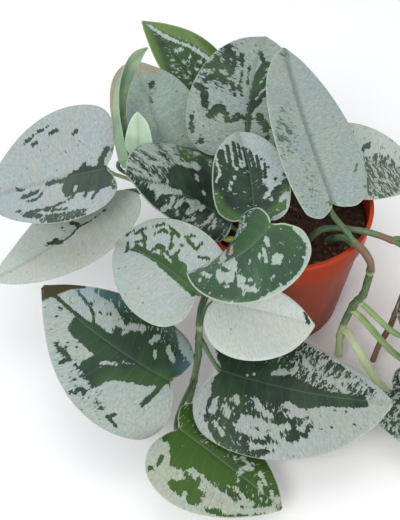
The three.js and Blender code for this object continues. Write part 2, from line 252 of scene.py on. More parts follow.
# Each blade: where its midrib starts, the way it points, its size, how it bends, and where its stalk
# leaves which vine.
leafForms = {
    "back_rolled": dict(
        base=(-35, 84, 98), heading=138, pitch=37, roll=2,
        length=97, width=60, droop=16, sweep=2, fold=15, curlRight=135,
        vine="back", at=0.5, look="mottled"),
    "top_mottled": dict(
        base=(-27, 24, 129), heading=82, pitch=47, roll=1,
        length=93, width=74, droop=61, sweep=-6, fold=8, cup=-18, lean=-0.06,
        vine="back", at=0.2, look="mottled"),
    "right_silver": dict(
        base=(27, -28, 126), heading=116, pitch=38, roll=20,
        length=116, width=66, droop=32, sweep=-21, fold=10, cup=-2, lobe=0.5,
        vine="right", at=0.25, look="silver"),
    "far_right": dict(
        base=(32, 22, 112), heading=11, pitch=-2, roll=14,
        length=74, width=62, droop=36, fold=6, cup=3,
        vine="far_right", at=0.5, look="mottled"),
    "left_upper": dict(
        base=(-119, 9, 121), heading=180, pitch=-16, roll=-12,
        length=92, width=91, droop=6, fold=10, lean=0.07,
        vine="left", at=0.74, look="silver"),
    "left_lower": dict(
        base=(-116, 12, 96), heading=220, pitch=-28, roll=4,
        length=102, width=69, droop=-16, sweep=-17, fold=4, cup=-10,
        vine="left", at=0.88, look="silver"),
    "back_left": dict(
        base=(-78, 29, 112), heading=112, pitch=40, roll=6,
        length=88, width=64, droop=50, sweep=-5, fold=8, lobe=0.3,
        vine="left", at=0.49, look="silver"),
    "centre_left": dict(
        base=(-36, -29.4, 108.5), heading=161, pitch=37, roll=-20,
        length=83, width=76, sweep=48, fold=-8, cup=-40, lean=0.25, bluntLeft=0.45, lobe=0.2,
        vine="centre", at=0.48, look="mottled"),
    "centre_small": dict(
        base=(-23, -37, 128), heading=93, pitch=34, roll=0,
        length=60, width=52, droop=36, sweep=12, fold=16, cup=10, lean=-0.03,
        vine="front", at=0.16, look="mottled"),
    "glossy_heart": dict(
        base=(-16, -71, 154), heading=232, pitch=-25, roll=6,
        length=60, width=67, droop=3, sweep=-74, fold=-19, cup=-23, lean=0.03, lobe=1.25,
        vine="front", at=0.26, look="mottled"),
    "front_left": dict(
        base=(-59, -82.6, 105.9), heading=136, pitch=15, roll=-25,
        length=71, width=66, droop=42, sweep=5, fold=14, cup=-4, lean=-0.03,
        vine="front", at=0.47, look="mottled"),
    "front_silver": dict(
        base=(-48, -83, 98), heading=3, pitch=-20, roll=13,
        length=72, width=57, droop=10, sweep=1, fold=9, cup=-5, lean=0.15,
        vine="front", at=0.6, look="silver"),
    "low_left": dict(
        base=(-76, -111, 52), heading=165, pitch=29, roll=-14,
        length=99, width=84, droop=-4, sweep=-19, fold=1, cup=-22, lean=-0.05, bluntLeft=-0.35,
        vine="front", at=0.76, look="mottled"),
    "low_right": dict(
        base=(-42, -104, 52), heading=-19, pitch=-4, roll=10,
        length=110, width=87, droop=3, sweep=20, fold=-2, cup=-14, lean=0.04,
        vine="front", at=0.67, look="mottled"),
    "bottom": dict(
        base=(-69, -139, 40), heading=-33, pitch=-14, roll=-10,
        length=78, width=71, droop=-4, sweep=-6, fold=3, cup=-14, lean=0.1,
        vine="front", at=0.9, look="mottled"),
    "young_rolled": dict(
        base=(-108, 13, 122), heading=116, pitch=60, roll=45,
        length=86, width=22, droop=52, sweep=-74, fold=12, cup=120, lobe=0.3,
        vine="left", at=0.67, look="young"),
    "young_pale": dict(
        base=(-96, 14.6, 132.1), heading=94, pitch=60, roll=0,
        length=25, width=18.5, droop=4, fold=6, cup=30,
        vine="left", at=0.58, look="young"),
    "right_upper": dict(
        base=(94, -40, 112), heading=24, pitch=8, roll=-6,
        length=80, width=62, droop=36, fold=6, cup=-6,
        vine="right_upper", at=0.34, look="mottled"),
    "right_middle": dict(
        base=(80, -71, 46), heading=4, pitch=8, roll=6,
        length=78, width=52, droop=34, fold=6, cup=-6, lobe=0.3,
        vine="right", at=0.69, look="mottled"),
    "right_outer": dict(
        base=(86, -82, 32), heading=-14, pitch=2, roll=6,
        length=76, width=58, droop=20, fold=6, cup=-6,
        vine="right", at=0.75, look="mottled"),
    "right_low": dict(
        base=(72, -100, 22), heading=-44, pitch=-4, roll=0,
        length=74, width=56, droop=4, fold=6, cup=-6,
        vine="right", at=0.86, look="mottled"),
    "rear_left": dict(
        base=(-20, 88, 86), heading=118, pitch=-30, roll=0,
        length=76, width=58, droop=30, fold=6, cup=-6,
        vine="back", at=0.8, look="silver"),
    "rear_right": dict(
        base=(24, 74, 92), heading=70, pitch=-36, roll=0,
        length=78, width=60, droop=24, fold=6, cup=-6,
        vine="rear", at=0.56, look="silver"),
}


# One half of a blade: share of the half width, share of the length, from notch round lobe to tip.
heartOutline = [(0.05, -0.022), (0.22, -0.07), (0.55, -0.1), (0.87, -0.01), (1, 0.19),
                (0.95, 0.43), (0.73, 0.67), (0.38, 0.87), (0.04, 1)]

bladeMake = dict(cellsAcross=72, cellsAlong=96, rowSpread=0.1, narrowest=0.4, thickness=0.75,
                 ribThickness=2.0, ribWidth=1.6, marginThickness=0.3, marginWidth=4, groove=0.35,
                 grooveWidth=1.2, veinSpacing=7.5, veinDepth=0.16, veinSlant=(0.05, 0.55),
                 dimple=0.3, dimpleSize=(9, 11), wave=0.5, waves=2.6, rimTurn=0.35, rimWidth=2.2)


def directions(form, share):  # along the blade, to its right and up from it
    heading = np.radians(form["heading"] + form.get("sweep", 0) * share)
    pitch = np.radians(form["pitch"] - form.get("droop", 0) * share)
    roll = math.radians(form["roll"])
    along = np.stack([np.cos(pitch) * np.cos(heading), np.cos(pitch) * np.sin(heading), np.sin(pitch)], -1)
    level = np.stack([np.sin(heading), -np.cos(heading), 0 * heading], -1)
    lift = np.cross(level, along)
    side = level * math.cos(roll) - lift * math.sin(roll)
    up = lift * math.cos(roll) + level * math.sin(roll)
    return along, side, up


def midrib(form, share, pieces=240):
    stops = np.linspace(0, 1, pieces + 1)
    along, _, _ = directions(form, (stops[1:] + stops[:-1]) / 2)
    run = np.vstack([[0, 0, 0], np.cumsum(along * form["length"] / pieces, axis=0)])
    inside = np.clip(share, 0, 1)
    place = np.stack([np.interp(inside, stops, run[:, axis]) for axis in range(3)], -1)
    beyond = directions(form, inside)[0] * ((share - inside) * form["length"])[..., None]
    return np.array(form["base"]) + place + beyond


def flatPlace(form, t, s):  # share of the half width (left is negative) and share of the length
    margin = smoothThrough(heartOutline, t)
    halfWidth = form["width"] * (0.5 + np.where(s >= 0, 1, -1) * form.get("lean", 0))
    marginY = np.where(margin[..., 1] < 0, margin[..., 1] * form.get("lobe", 1), margin[..., 1])
    middleY = bladeMake["rowSpread"] * t + (1 - bladeMake["rowSpread"]) * t ** 3
    share = middleY + (marginY - middleY) * np.abs(s)
    blunt = np.where(s >= 0, 0, form.get("bluntLeft", 0))
    reach = np.maximum(margin[..., 0] * (1 + blunt * margin[..., 1] ** 3), bladeMake["narrowest"] / halfWidth)
    return reach * np.abs(s), share, halfWidth


def bladePlace(form, t, s, height):
    reach, share, halfWidth = flatPlace(form, t, s)
    fold, cup = math.radians(form.get("fold", 0)), math.radians(form.get("cup", 0))
    curl = np.where(s >= 0, math.radians(form.get("curlRight", 0)), 0)
    inner = (np.arange(16) + 0.5) / 16  # the bend from midrib to margin, added up in 16 pieces
    slope = fold + cup * reach[..., None] * inner + curl[..., None] * (reach[..., None] * inner) ** 3
    across = np.cos(slope).mean(-1) * reach * halfWidth
    rise = np.sin(slope).mean(-1) * reach * halfWidth
    tilt = fold + cup * reach + curl * reach ** 3
    _, side, up = directions(form, np.clip(share, 0, 1))
    sign = np.sign(s)
    normal = up * np.cos(tilt)[..., None] - side * (sign * np.sin(tilt))[..., None]
    return (midrib(form, share) + side * (sign * across)[..., None] + up * rise[..., None]
            + normal * height[..., None])


def bladeBlank():  # one grid, from which every blade is bent
    deselectAll()
    bpy.ops.mesh.primitive_grid_add(x_subdivisions=bladeMake["cellsAcross"],
                                    y_subdivisions=bladeMake["cellsAlong"], size=2)
    return named(bpy.context.object, "bladeBlank")


def toLine(x, y, points):  # distance from every place to a line through points
    points = np.asarray(points, float)
    if len(points) == 1:
        return np.hypot(x - points[0, 0], y - points[0, 1])
    nearest = np.full(x.shape, np.inf)
    for (ax, ay), (bx, by) in zip(points[:-1], points[1:]):
        squared = max((bx - ax) ** 2 + (by - ay) ** 2, 1e-9)
        share = np.clip(((x - ax) * (bx - ax) + (y - ay) * (by - ay)) / squared, 0, 1)
        nearest = np.minimum(nearest, np.hypot(x - ax - share * (bx - ax), y - ay - share * (by - ay)))
    return nearest


def within(x, y, points):  # which places lie inside a shape
    inside = np.zeros(x.shape, bool)
    for (ax, ay), (bx, by) in zip(points, np.roll(points, -1, axis=0)):
        inside ^= ((ay > y) != (by > y)) & (x < ax + (y - ay) * (bx - ax) / (by - ay + 1e-12))
    return inside


def paintBlade(form, paint, x, y):
    layers = {name: np.full(x.shape, float(paint.get(name, 0))) for name in ("silver", "fresh", "dryAndShade")}
    left, right = (form["width"] * (0.5 + side * form.get("lean", 0)) / 100 for side in (-1, 1))
    for shape, layer, value, radius, points in paint.get("marks", ()):
        line = np.array([(px * (right if px >= 0 else left), py / 100 * form["length"]) for px, py in points])
        if shape == "patch":
            away = np.where(within(x, y, line), 0, toLine(x, y, np.vstack([line, line[:1]])))
        elif shape == "dots":
            away = np.min([toLine(x, y, [place]) for place in line], axis=0)
        else:
            away = toLine(x, y, line)
        full = 0 if shape == "patch" else 0.3 * radius
        weight = 1 - ease(full, 1.7 * radius, away)
        layers[layer] = layers[layer] * (1 - weight) + value * weight
    return np.stack(list(layers.values()), -1)


def makeBlade(name, form, paint, blank, seed):
    make = bladeMake
    mesh = blank.data.copy()
    blade = bpy.data.objects.new("blade_" + name, mesh)
    bpy.context.collection.objects.link(blade)
    mesh.name = blade.name
    flat = corners(mesh).astype(float)
    s, t = flat[:, 0], (flat[:, 1] + 1) / 2
    reach, share, halfWidth = flatPlace(form, t, s)
    x, y = np.sign(s) * reach * halfWidth, share * form["length"]
    edge = np.full(x.shape, np.inf)  # distance from the margin
    rim = np.linspace(0, 1, 140)
    for side in (-1.0, 1.0):
        rimReach, rimShare, rimHalf = flatPlace(form, rim, np.full(rim.shape, side))
        rimLine = np.stack([side * rimReach * rimHalf, rimShare * form["length"]], -1)
        edge = np.minimum(edge, toLine(x, y, rimLine))
    slant, more = make["veinSlant"]
    vein = y - np.abs(x) * (slant + more * np.clip(share, 0, 1))
    turns = np.random.default_rng(seed).uniform(0, 2 * math.pi, 4)
    inside = ease(0, 9, edge) * ease(1, 7, np.abs(x))
    height = 0.5 * make["thickness"] + 0 * x
    height -= paint.get("groove", make["groove"]) * bell(x, make["grooveWidth"]) * ease(1.05, 0.5, share)
    height += make["veinDepth"] * np.sin(2 * math.pi * vein / make["veinSpacing"] + turns[0]) * inside
    wide, long = make["dimpleSize"]
    height += make["dimple"] * np.sin(x / wide + turns[1]) * np.sin(y / long + turns[2]) * inside
    beat = 2 * math.pi * make["waves"] * t + turns[3] + (s > 0) * 1.7
    height += form.get("wave", make["wave"]) * np.abs(s) ** 3 * np.sin(beat) * ease(0, 0.15, t)
    height -= make["rimTurn"] * (1 - ease(0, make["rimWidth"], edge))
    moveCorners(mesh, bladePlace(form, t, s, height) * mm)
    addPainted(mesh, "paint", "FLOAT_VECTOR", paintBlade(form, paint, x, y))
    addPainted(mesh, "grain", "FLOAT_VECTOR", np.stack([x, vein, 0 * x + 37.0 * seed], -1))
    addPainted(mesh, "edge", "FLOAT", edge)
    thin, full, rib = make["marginThickness"], make["thickness"], make["ribThickness"]
    thick = thin + (full - thin) * ease(0, make["marginWidth"], edge)
    thick += (rib - full) * bell(x, make["ribWidth"]) * ease(1, 0.1, share) * ease(-0.03, 0.03, share)
    group = blade.vertex_groups.new(name="thick")
    for index, weight in enumerate(np.clip(thick / rib, 0, 1)):
        group.add((index,), float(weight), "REPLACE")
    pick(blade)
    bpy.ops.object.shade_smooth()
    modify(blade, "SOLIDIFY", thickness=rib * mm, offset=-1, vertex_group="thick", material_offset=1,
           material_offset_rim=2)
    return blade


# Colours of the blades and the widths (in mm) and strengths of what shows on them.
# The sky colour, at the strength and on the side of the midrib given with it, paints a bluish reflection of
# the window light near the margins.
bladeLook = dict(
    dark="#203127", mid="#2e452f", lime="#43652a", silver="#82918a", cool="#a2ada9", warm="#a5aca3",
    glint="#dfe4df", rim="#b4bfa8", rib="#7c8e76", ribGrooveShade="#26382c", dryAndShade="#a5764a", sky="#668b9c",
    rimWidth=0.55, rimShow=0.6, ribShow=0.15, ribShade=0.12, veinShow=0.07, streaks=0.6, glints=0.12,
    skyReflectionShow=0.0, skyReflectionSide=1, roughness=0.36, gloss=0.0, shine=0.26)

# Each noise: stretch across, along the veins and between blades, detail, roughness and shift.
bladeNoise = dict(
    patches=((0.16, 0.36, 1), 2.0, 0.6, (0, 0, 0)),
    flecks=((0.4, 0.8, 1), 2.0, 0.6, (5, 2, 0)),
    broad=((0.045, 0.06, 1), 1.0, 0.5, (9, 4, 0)),
    fine=((0.9, 1.6, 1), 3.0, 0.6, (3, 8, 0)),
    streak=((0.22, 1.5, 1), 3.0, 0.65, (1, 6, 0)),
    speck=((3.1, 3.6, 1), 2.0, 0.5, (0, 0, 0)))


def veinLines(finish, vein, broad, width):  # 1 on the side veins
    halfSpacing = bladeMake["veinSpacing"] / 2
    lines = finish.node("Math", {"operation": "PINGPONG"}, {0: vein + (broad - 0.5) * 4, 1: halfSpacing})
    return 1 - finish.step(lines, 0.0, width)


def bladeTop(name, changes):
    look = {**bladeLook, **changes}
    finish = Finish(name, Specular_IOR_Level=look["shine"])
    silver, fresh, dryAndShade = finish.parts(finish.painted("paint"))
    grain = finish.painted("grain")
    across, vein, _ = finish.parts(grain)
    edge = finish.painted("edge", "Fac")
    patches, flecks, broad, fine, streak, speck = (finish.noise(grain, *kind) for kind in bladeNoise.values())
    cell, _, _ = finish.parts(finish.node("TexVoronoi", {"feature": "F1"}, {
        "Vector": finish.stretch(grain, (0.7, 1.5, 1)), "Scale": 1.0}, "Color"))
    field = silver + (patches - 0.5) * 1.7 + (flecks - 0.5) * 1.5 + (cell - 0.5) * 0.14
    mask = finish.step(field, 0.42, 0.56)  # where the blade is silver
    green = finish.blend(finish.step(broad + (streak - 0.5) * 0.5, 0.35, 0.65), look["dark"], look["mid"])
    green = finish.blend(fresh, green, look["lime"])
    sheen = finish.blend(finish.step(broad, 0.38, 0.62), look["cool"], look["warm"])
    for factor, colour in ((finish.step(streak, 0.44, 0.68) * look["streaks"], "silver"),
                           (finish.step(flecks, 0.52, 0.36) * 0.35, "silver"),
                           (finish.step(field, 0.95, 0.5) * 0.4, "silver"),
                           (finish.step(cell + fine * 0.5, 0.85, 1.1) * look["glints"], "glint")):
        sheen = finish.blend(factor, sheen, look[colour])
    body = finish.blend(mask, green, sheen)
    aside = finish.node("Math", {"operation": "ABSOLUTE"}, {0: across})
    # painted reflection: a band of bluish window light near the margin, on one side of the midrib
    skyReflectionBand = finish.step(edge, 15, 1) * finish.step(across * look["skyReflectionSide"], 3, 15)
    rimBand = 1 - finish.step(edge + (fine - 0.5) * 0.6, 0.5 * look["rimWidth"], 1.5 * look["rimWidth"])
    for factor, colour in (
            (veinLines(finish, vein, broad, 0.6) * finish.step(edge, 1.0, 6.0) * look["veinShow"], "rib"),
            # painted shade in the groove along the midrib
            ((1 - finish.step(aside, 0.3, 3.5)) * look["ribShade"], "ribGrooveShade"),
            ((1 - finish.step(aside + (fine - 0.5) * 0.3, 0.2, 0.8)) * look["ribShow"], "rib"),
            (skyReflectionBand * look["skyReflectionShow"], "sky"), (rimBand * look["rimShow"], "rim"),
            (finish.step(dryAndShade + (fine - 0.5) * 0.6, 0.25, 0.85), "dryAndShade")):
        body = finish.blend(factor, body, look[colour])
    body = finish.blend(finish.step(speck, 0.3, 0.75) * 0.14, body, "#ffffff", "SOFT_LIGHT")
    finish.set("Base Color", body)
    finish.set("Roughness", look["roughness"] - look["gloss"] + mask * 0.1 + (fine - 0.5) * 0.14)
    finish.bump(cell * 0.25 + fine * 0.6 + mask * 0.25, 0.00022, 0.6)
    return finish.material


underLook = dict(first="#93a884", second="#a9b99a", rib="#b9c59c", shadow="#6f8763")
oliveLook = dict(first="#7f9548", second="#94a75a", rib="#aebb76", shadow="#6f8763")
rimLook = dict(first="#aebba0", second="#8c9d7c")


def bladeUnder(name, look):
    finish = Finish(name)
    grain = finish.painted("grain")
    across, vein, _ = finish.parts(grain)
    edge = finish.painted("edge", "Fac")
    broad = finish.noise(grain, (0.06, 0.09, 1))
    fine = finish.noise(grain, (0.8, 1.5, 1), 3.0, 0.6)
    aside = finish.node("Math", {"operation": "ABSOLUTE"}, {0: across})
    body = finish.blend(finish.step(broad, 0.35, 0.65), look["first"], look["second"])
    for factor, colour in ((veinLines(finish, vein, broad, 0.7) * finish.step(edge, 1.0, 6.0) * 0.4, "rib"),
                           (1 - finish.step(aside, 0.6, 1.7), "rib"),
                           (finish.step(fine, 0.35, 0.7) * 0.15, "shadow")):
        body = finish.blend(factor, body, look[colour])
    finish.set("Base Color", body)
    finish.set("Roughness", 0.5 + (fine - 0.5) * 0.15)
    finish.bump(fine, 0.00015, 0.6)
    return finish.material


def bladeRim(name, look):
    finish = Finish(name)
    fine = finish.noise(finish.painted("grain"), (0.5, 0.9, 1))
    finish.set("Base Color", finish.blend(finish.step(fine, 0.35, 0.65) * 0.5, look["first"], look["second"]))
    finish.set("Roughness", 0.48 + (fine - 0.5) * 0.1)
    return finish.material


underFinish = bladeUnder("bladeUnderside", underLook)
oliveFinish = bladeUnder("bladeUndersideOlive", oliveLook)
rimFinish = bladeRim("bladeRim", rimLook)

# How each blade is painted. silver, fresh and the third layer say how much of it is silver, young green or
# dried (on low_left's tip: painted shadow) before its marks are made. A stroke runs through its points, a
# patch fills the shape that they make and dots lie on each of them. A mark has the value that it brings, its
# half width or soft edge in mm, and points in percent of the half width (left of the midrib is negative) and
# of the length.


def marker(shape):
    return lambda value, radius, *points, layer="silver": (shape, layer, value, radius, points)


stroke, patch, dots = marker("stroke"), marker("patch"), marker("dots")
bladePaint = {
    "back_rolled": dict(silver=0.22, fresh=0.1, colours=dict(dark="#27412b", mid="#345233",
        lime="#678446", cool="#b2c2be", warm="#b0beb4", silver="#94a69c"), marks=[
        patch(0.8, 4, (-98, 40), (-80, 60), (-55, 70), (-34, 82), (-10, 94), (4, 104), (-60, 90),
            layer="fresh"),
        patch(-0.1, 2, (-98, 30), (-80, 52), (-50, 62), (-30, 74), (-10, 90), (4, 104), (-60, 90)),
        stroke(0.95, 1.2, (2, 94), (12, 80), (26, 70), (42, 61), (52, 50), (60, 40)),
        dots(0.85, 1.4, (-33, 46), (-10, 46), (0, 55), (15, 45), (25, 55), (32, 47), (20, 64)),
        stroke(0.7, 1.2, (-20, 36), (30, 40)), dots(0.8, 1.5, (0, 99), layer="dryAndShade"),
        dots(0.9, 1.1, (-40, 56), (-22, 60), (-12, 68), (6, 66), (-28, 34), (10, 36), (42, 40)),
        patch(0.85, 1.2, (6, 98), (20, 82), (36, 72), (56, 60), (68, 44), (110, 30), (110, 90),
            (30, 110), layer="fresh"), patch(-0.1, 1, (8, 98), (24, 82), (40, 72), (60, 60), (72, 44),
            (110, 30), (110, 90), (30, 110))]),
    "top_mottled": dict(silver=0.9, colours=dict(mid="#2f4a2b", cool="#8e9d98", warm="#919e94",
        silver="#71837a"), marks=[
        patch(0.6, 3, (-90, 56), (-58, 80), (-40, 74), (-36, 56), (-30, 40), (-60, 40), (-90, 42)),
        stroke(0, 2.6, (-55, 76), (-48, 66)), stroke(0, 2.4, (-80, 55), (-60, 57), (-42, 55)),
        stroke(0.05, 2.2, (-76, 44), (-60, 47), (-45, 43)), stroke(0.1, 1.6, (-28, 69), (-22, 59)),
        stroke(0.1, 1.4, (-34, 44), (-25, 34)), stroke(0.1, 1.5, (-34, 64), (-38, 50)),
        stroke(0, 2.4, (-88, 38), (-76, 34), (-70, 24)),
        stroke(0, 2.6, (-60, 17), (-46, 25), (-36, 20)), stroke(0.1, 1.8, (-32, 15), (-15, 18)),
        stroke(0.15, 1.7, (-90, 15), (-85, 5)), dots(0.1, 2.2, (-70, -1)),
        stroke(0.05, 1.5, (2, 76), (8, 70), (22, 61)),
        stroke(-0.1, 1.9, (3, 10), (4, 30), (6, 50), (14, 62), (24, 64)),
        stroke(-0.1, 1.7, (5, 34), (24, 46), (36, 56)), stroke(-0.1, 1.6, (5, 44), (20, 56)),
        stroke(-0.1, 1.8, (4, 24), (20, 32), (36, 42)), stroke(0, 1.3, (2, 16), (-16, 20)),
        stroke(0.05, 1.2, (-50, 70), (-46, 58)), stroke(0.05, 1.2, (-40, 70), (-38, 60)),
        stroke(0.05, 1.3, (-66, 66), (-60, 50)), stroke(0.1, 0.9, (-20, 54), (-20, 40), (-14, 34)),
        stroke(0.1, 0.9, (-10, 60), (-8, 44)), stroke(0, 2.6, (24, 20), (42, 12)),
        dots(0.1, 1.7, (46, 6), (50, 40), (60, 20))]),
    "right_silver": dict(silver=1, groove=0.5, colours=dict(dark="#4d6358", mid="#566b5c",
        silver="#778983", cool="#8f9d9b", warm="#949f97", ribShade=0.4), marks=[
        patch(0.66, 3, (-98, 34), (-50, 54), (-36, 42), (-50, 34), (-90, 28)),
        patch(0.76, 3, (-85, 3), (-30, 32), (-20, 12), (-60, 0)),
        stroke(0.2, 1.5, (-85, 37), (-68, 39)), stroke(0.2, 1.4, (-55, 42), (-48, 42)),
        stroke(0.3, 1.1, (-75, 47), (-50, 44)), dots(0.1, 1.3, (-70, 68), (87, 3)),
        dots(0.4, 1.1, (-28, 59), (-50, 10), (-30, 17), (66, 45)), stroke(0.15, 1, (73, 14), (82, 17)),
        stroke(0.35, 1.6, (-14, 93), (6, 95)),
        patch(0.5, 2, (-30, 4), (25, 4), (30, -10), (-30, -10), layer="fresh"),
        stroke(0.5, 2, (-28, 0), (10, 1))]),
    "far_right": dict(silver=0.85, colours=dict(dark="#43544a", mid="#506253", silver="#99a69d",
        cool="#aeb9b5", warm="#b1b8ae"), marks=[
        stroke(0.3, 3, (-15, 52), (0, 45), (25, 45)), stroke(0.3, 2, (-45, 40), (-34, 33)),
        stroke(0.3, 1.8, (-26, 50), (-14, 40)), stroke(0.3, 1.8, (35, 55), (60, 48), (85, 40)),
        stroke(0.3, 1.8, (30, 38), (52, 40)), dots(0.2, 2.2, (70, 30), (50, 30), (0, 58)),
        patch(0.45, 3, (-10, 36), (-20, 60), (10, 75), (50, 70), (95, 40), (80, 20), (50, 34),
            (20, 32))]),
    "left_upper": dict(silver=0.98, colours=dict(dark="#2e3c33", mid="#3a4a3a", cool="#a0abad",
        warm="#a4aaa6", silver="#87948f"), marks=[
        patch(-0.1, 1.2, (-42, -8), (-44, 10), (-40, 19), (-46, 28), (-30, 31), (-4, 30), (3, 26),
            (7, 14), (2, 0), (-10, -8)), stroke(1, 1.2, (-40, 22), (-30, 21.5)),
        stroke(0, 2.4, (-7, 28), (-5, 44)), stroke(0, 1.5, (-62, 8), (-40, 2)),
        stroke(0.05, 1.2, (-56, 14), (-42, 12)),
        stroke(0.1, 1.3, (-40, 20), (-52, 24), (-60, 33), (-64, 45), (-62, 55), (-66, 61)),
        patch(0.3, 1.8, (-95, 12), (-99, 30), (-88, 47), (-80, 42), (-84, 25), (-83, 12)),
        stroke(0.25, 1.4, (-73, 27), (-68, 42)), stroke(0.05, 2.2, (-76, 48), (-68, 58)),
        stroke(0, 1.4, (-36, 59), (-35, 51), (-25, 49)), stroke(0, 2.2, (-22, 63), (-18, 53)),
        stroke(0.25, 1.6, (-5, 65), (0, 70)), stroke(0.2, 1.3, (-56, 64), (-53, 67)),
        stroke(0, 2.2, (2, 4), (14, 2), (26, -3)), stroke(0.05, 1.5, (4, 20), (12, 15)),
        stroke(0.05, 1.7, (55, 55), (60, 52)), stroke(0.05, 1.6, (67, 39), (70, 36)),
        stroke(0.1, 1.7, (58, 22), (62, 20)), stroke(0.25, 1.4, (62, 62), (74, 50), (78, 42)),
        stroke(0.5, 2.5, (-50, -7), (30, -7), layer="fresh"), stroke(0.4, 2, (-50, -8), (30, -8))]),
    # Its silver colours are painted lighter to offset the shade that left_upper casts on it.
    "left_lower": dict(silver=1.03, colours=dict(dark="#3a453c", cool="#bcc5bf", warm="#c0c3b8",
        silver="#a3aea6", streaks=0.5), marks=[
        stroke(0.35, 0.9, (-20, 12), (-13, 25)),
        stroke(0.25, 0.9, (-13, 25), (-5, 33), (-10, 40), (-10, 50)),
        stroke(0, 1.5, (-8, 48), (3, 52), (9, 56)), stroke(0, 2, (-2, 50), (6, 50)),
        stroke(0.05, 1.5, (0, 32), (16, 35)), stroke(0.35, 1, (5, 42), (22, 42)),
        stroke(0.5, 4, (-50, -4), (-10, 0), layer="fresh")]),
    "back_left": dict(silver=0.98, colours=dict(cool="#869994", warm="#8fa093", silver="#728579",
        dryAndShade="#a58a6c"), marks=[
        stroke(0.75, 2.6, (-8, 80), (0, 85), (14, 87), (30, 82), (36, 77), layer="dryAndShade"),
        stroke(0.62, 4.5, (-95, 38), (-80, 66), (-30, 92), layer="dryAndShade"),
        stroke(0, 1.7, (13, 62), (22, 66)), dots(0.2, 1.2, (22, 58)),
        stroke(0.6, 1.5, (2, 46), (5, 55))]),
    "centre_left": dict(silver=0.25, colours=dict(dark="#1a2a22", cool="#97a5a1", warm="#9ba89e",
        rim="#9fb39c", rimShow=0.8, rimWidth=0.8), marks=[
        patch(0.43, 3, (2, 62), (30, 58), (60, 50), (95, 45), (50, 86), (5, 100)),
        patch(-0.1, 1.6, (4, 58), (16, 61), (40, 50), (42, 42), (50, 30), (100, 30), (100, 10),
            (0, -10), (0, 40)), stroke(0.95, 2.2, (45, 46), (49, 37), (55, 38)),
        dots(0.95, 1.5, (30, 36), (35, 37), (15, 30)), stroke(0.85, 2.2, (45, 51), (75, 56), (90, 50)),
        stroke(0.9, 2.4, (38, 62), (50, 70), (62, 66)), stroke(0.9, 1.8, (30, 65), (26, 76), (40, 80)),
        stroke(0.85, 1.5, (10, 82), (20, 95)), stroke(0.85, 1.4, (3, 72), (5, 92)),
        stroke(0.85, 1.4, (50, 76), (68, 68)), stroke(0.9, 1.4, (78, 36), (88, 33)),
        stroke(0.8, 1, (62, 28), (80, 26)),
        stroke(0.6, 5, (60, 44), (100, 38), (80, 26), layer="fresh"),
        stroke(0.9, 2, (-20, 76), (-4, 63)), stroke(0.9, 1.8, (-30, 70), (-10, 60), (0, 50)),
        stroke(0.75, 1.6, (-75, 60), (-50, 55), (-30, 56)), stroke(0.7, 1.2, (-75, 45), (-50, 50)),
        stroke(0.9, 2, (-38, 49), (-20, 42), (-5, 33)),
        stroke(0.8, 1.6, (-50, 38), (-30, 36), (-8, 27)), stroke(0.7, 1.2, (-75, 35), (-55, 30)),
        stroke(0.75, 1.3, (-70, 25), (-40, 18), (-10, 18)), stroke(0.8, 1.5, (-45, 12), (-22, 14)),
        stroke(0, 3, (-90, 70), (-40, 85)), stroke(0, 2.2, (-50, 44), (-30, 43)),
        stroke(0, 2.4, (-50, 25), (-20, 24))]),
    "centre_small": dict(silver=0.12, colours=dict(dark="#24322b", mid="#2e4434", lime="#47693a",
        cool="#a3b0b2", warm="#a7b0a8", rim="#adbba9", rimShow=0.75, rimWidth=0.7), marks=[
        patch(0.95, 1.8, (-62, 72), (-30, 80), (0, 70), (20, 62), (25, 50), (42, 42), (34, 32),
            (50, 22), (72, 27), (80, 40), (100, 34), (85, 60), (50, 88), (0, 105), (-50, 90)),
        stroke(0, 1.3, (-24, 82), (-30, 60)), stroke(0, 1.7, (0, 74), (-2, 55)),
        stroke(0, 1.2, (-42, 76), (-46, 50)), stroke(0.85, 1, (-52, 74), (-53, 55)),
        stroke(0.85, 0.9, (-34, 76), (-39, 50)), stroke(0.85, 0.9, (-18, 74), (-20, 50)),
        stroke(0.85, 0.9, (-10, 70), (-10, 52)), stroke(0.85, 0.9, (10, 66), (10, 50)),
        stroke(0.9, 0.8, (-80, 70), (-80, 50), (-76, 40), (-90, 30)), stroke(0, 1, (14, 50), (12, 70)),
        stroke(0, 1, (26, 44), (26, 60)), stroke(0, 1, (38, 34), (42, 48)),
        stroke(0, 0.9, (-13, 80), (-16, 60)), dots(0.1, 1, (36, 55), (50, 44), (62, 30)),
        dots(0.95, 1.4, (-40, 37), (-57, 24), (-51, 30), (-32, 47), (31, 14), (39, 16.5), (47, 10)),
        stroke(0.95, 1.8, (74, 10), (96, 14)),
        stroke(0.85, 3.6, (-97, 16), (-75, 0), (-40, -8), layer="fresh"),
        stroke(0.85, 3.6, (40, -6), (70, 2), (90, 16), layer="fresh"),
        stroke(0.9, 1.2, (50, -9), (85, -2), (99, 15))]),
    "glossy_heart": dict(silver=0.14, fresh=0.15, colours=dict(dark="#35473d", mid="#36543e",
        lime="#3d622c", cool="#9baaa5", warm="#a1aa9e", rim="#b3c2ab", rimWidth=0.85, rimShow=0.8,
        dryAndShade="#c2a08a", gloss=0.1), marks=[
        patch(0.9, 0.8, (-58, 20), (-50, 24), (-43, 21), (-42, 17), (-50, 16)),
        stroke(0.9, 0.9, (-40, 27), (-20, 22)), stroke(0.8, 0.8, (-30, 30), (-20, 27)),
        stroke(0.85, 1.3, (-20, 17), (-8, 13)), stroke(0.85, 1.5, (-70, 46), (-56, 51), (-38, 50)),
        dots(0.8, 1.2, (-50, 45), (-45, 62), (-20, 84)),
        patch(0.9, 1.4, (-38, 58), (-20, 51), (-2, 49), (-4, 60), (-14, 67), (-30, 66)),
        stroke(0.85, 1.5, (-16, 74), (-8, 81)), stroke(0.1, 1.1, (-18, 58), (-8, 62)),
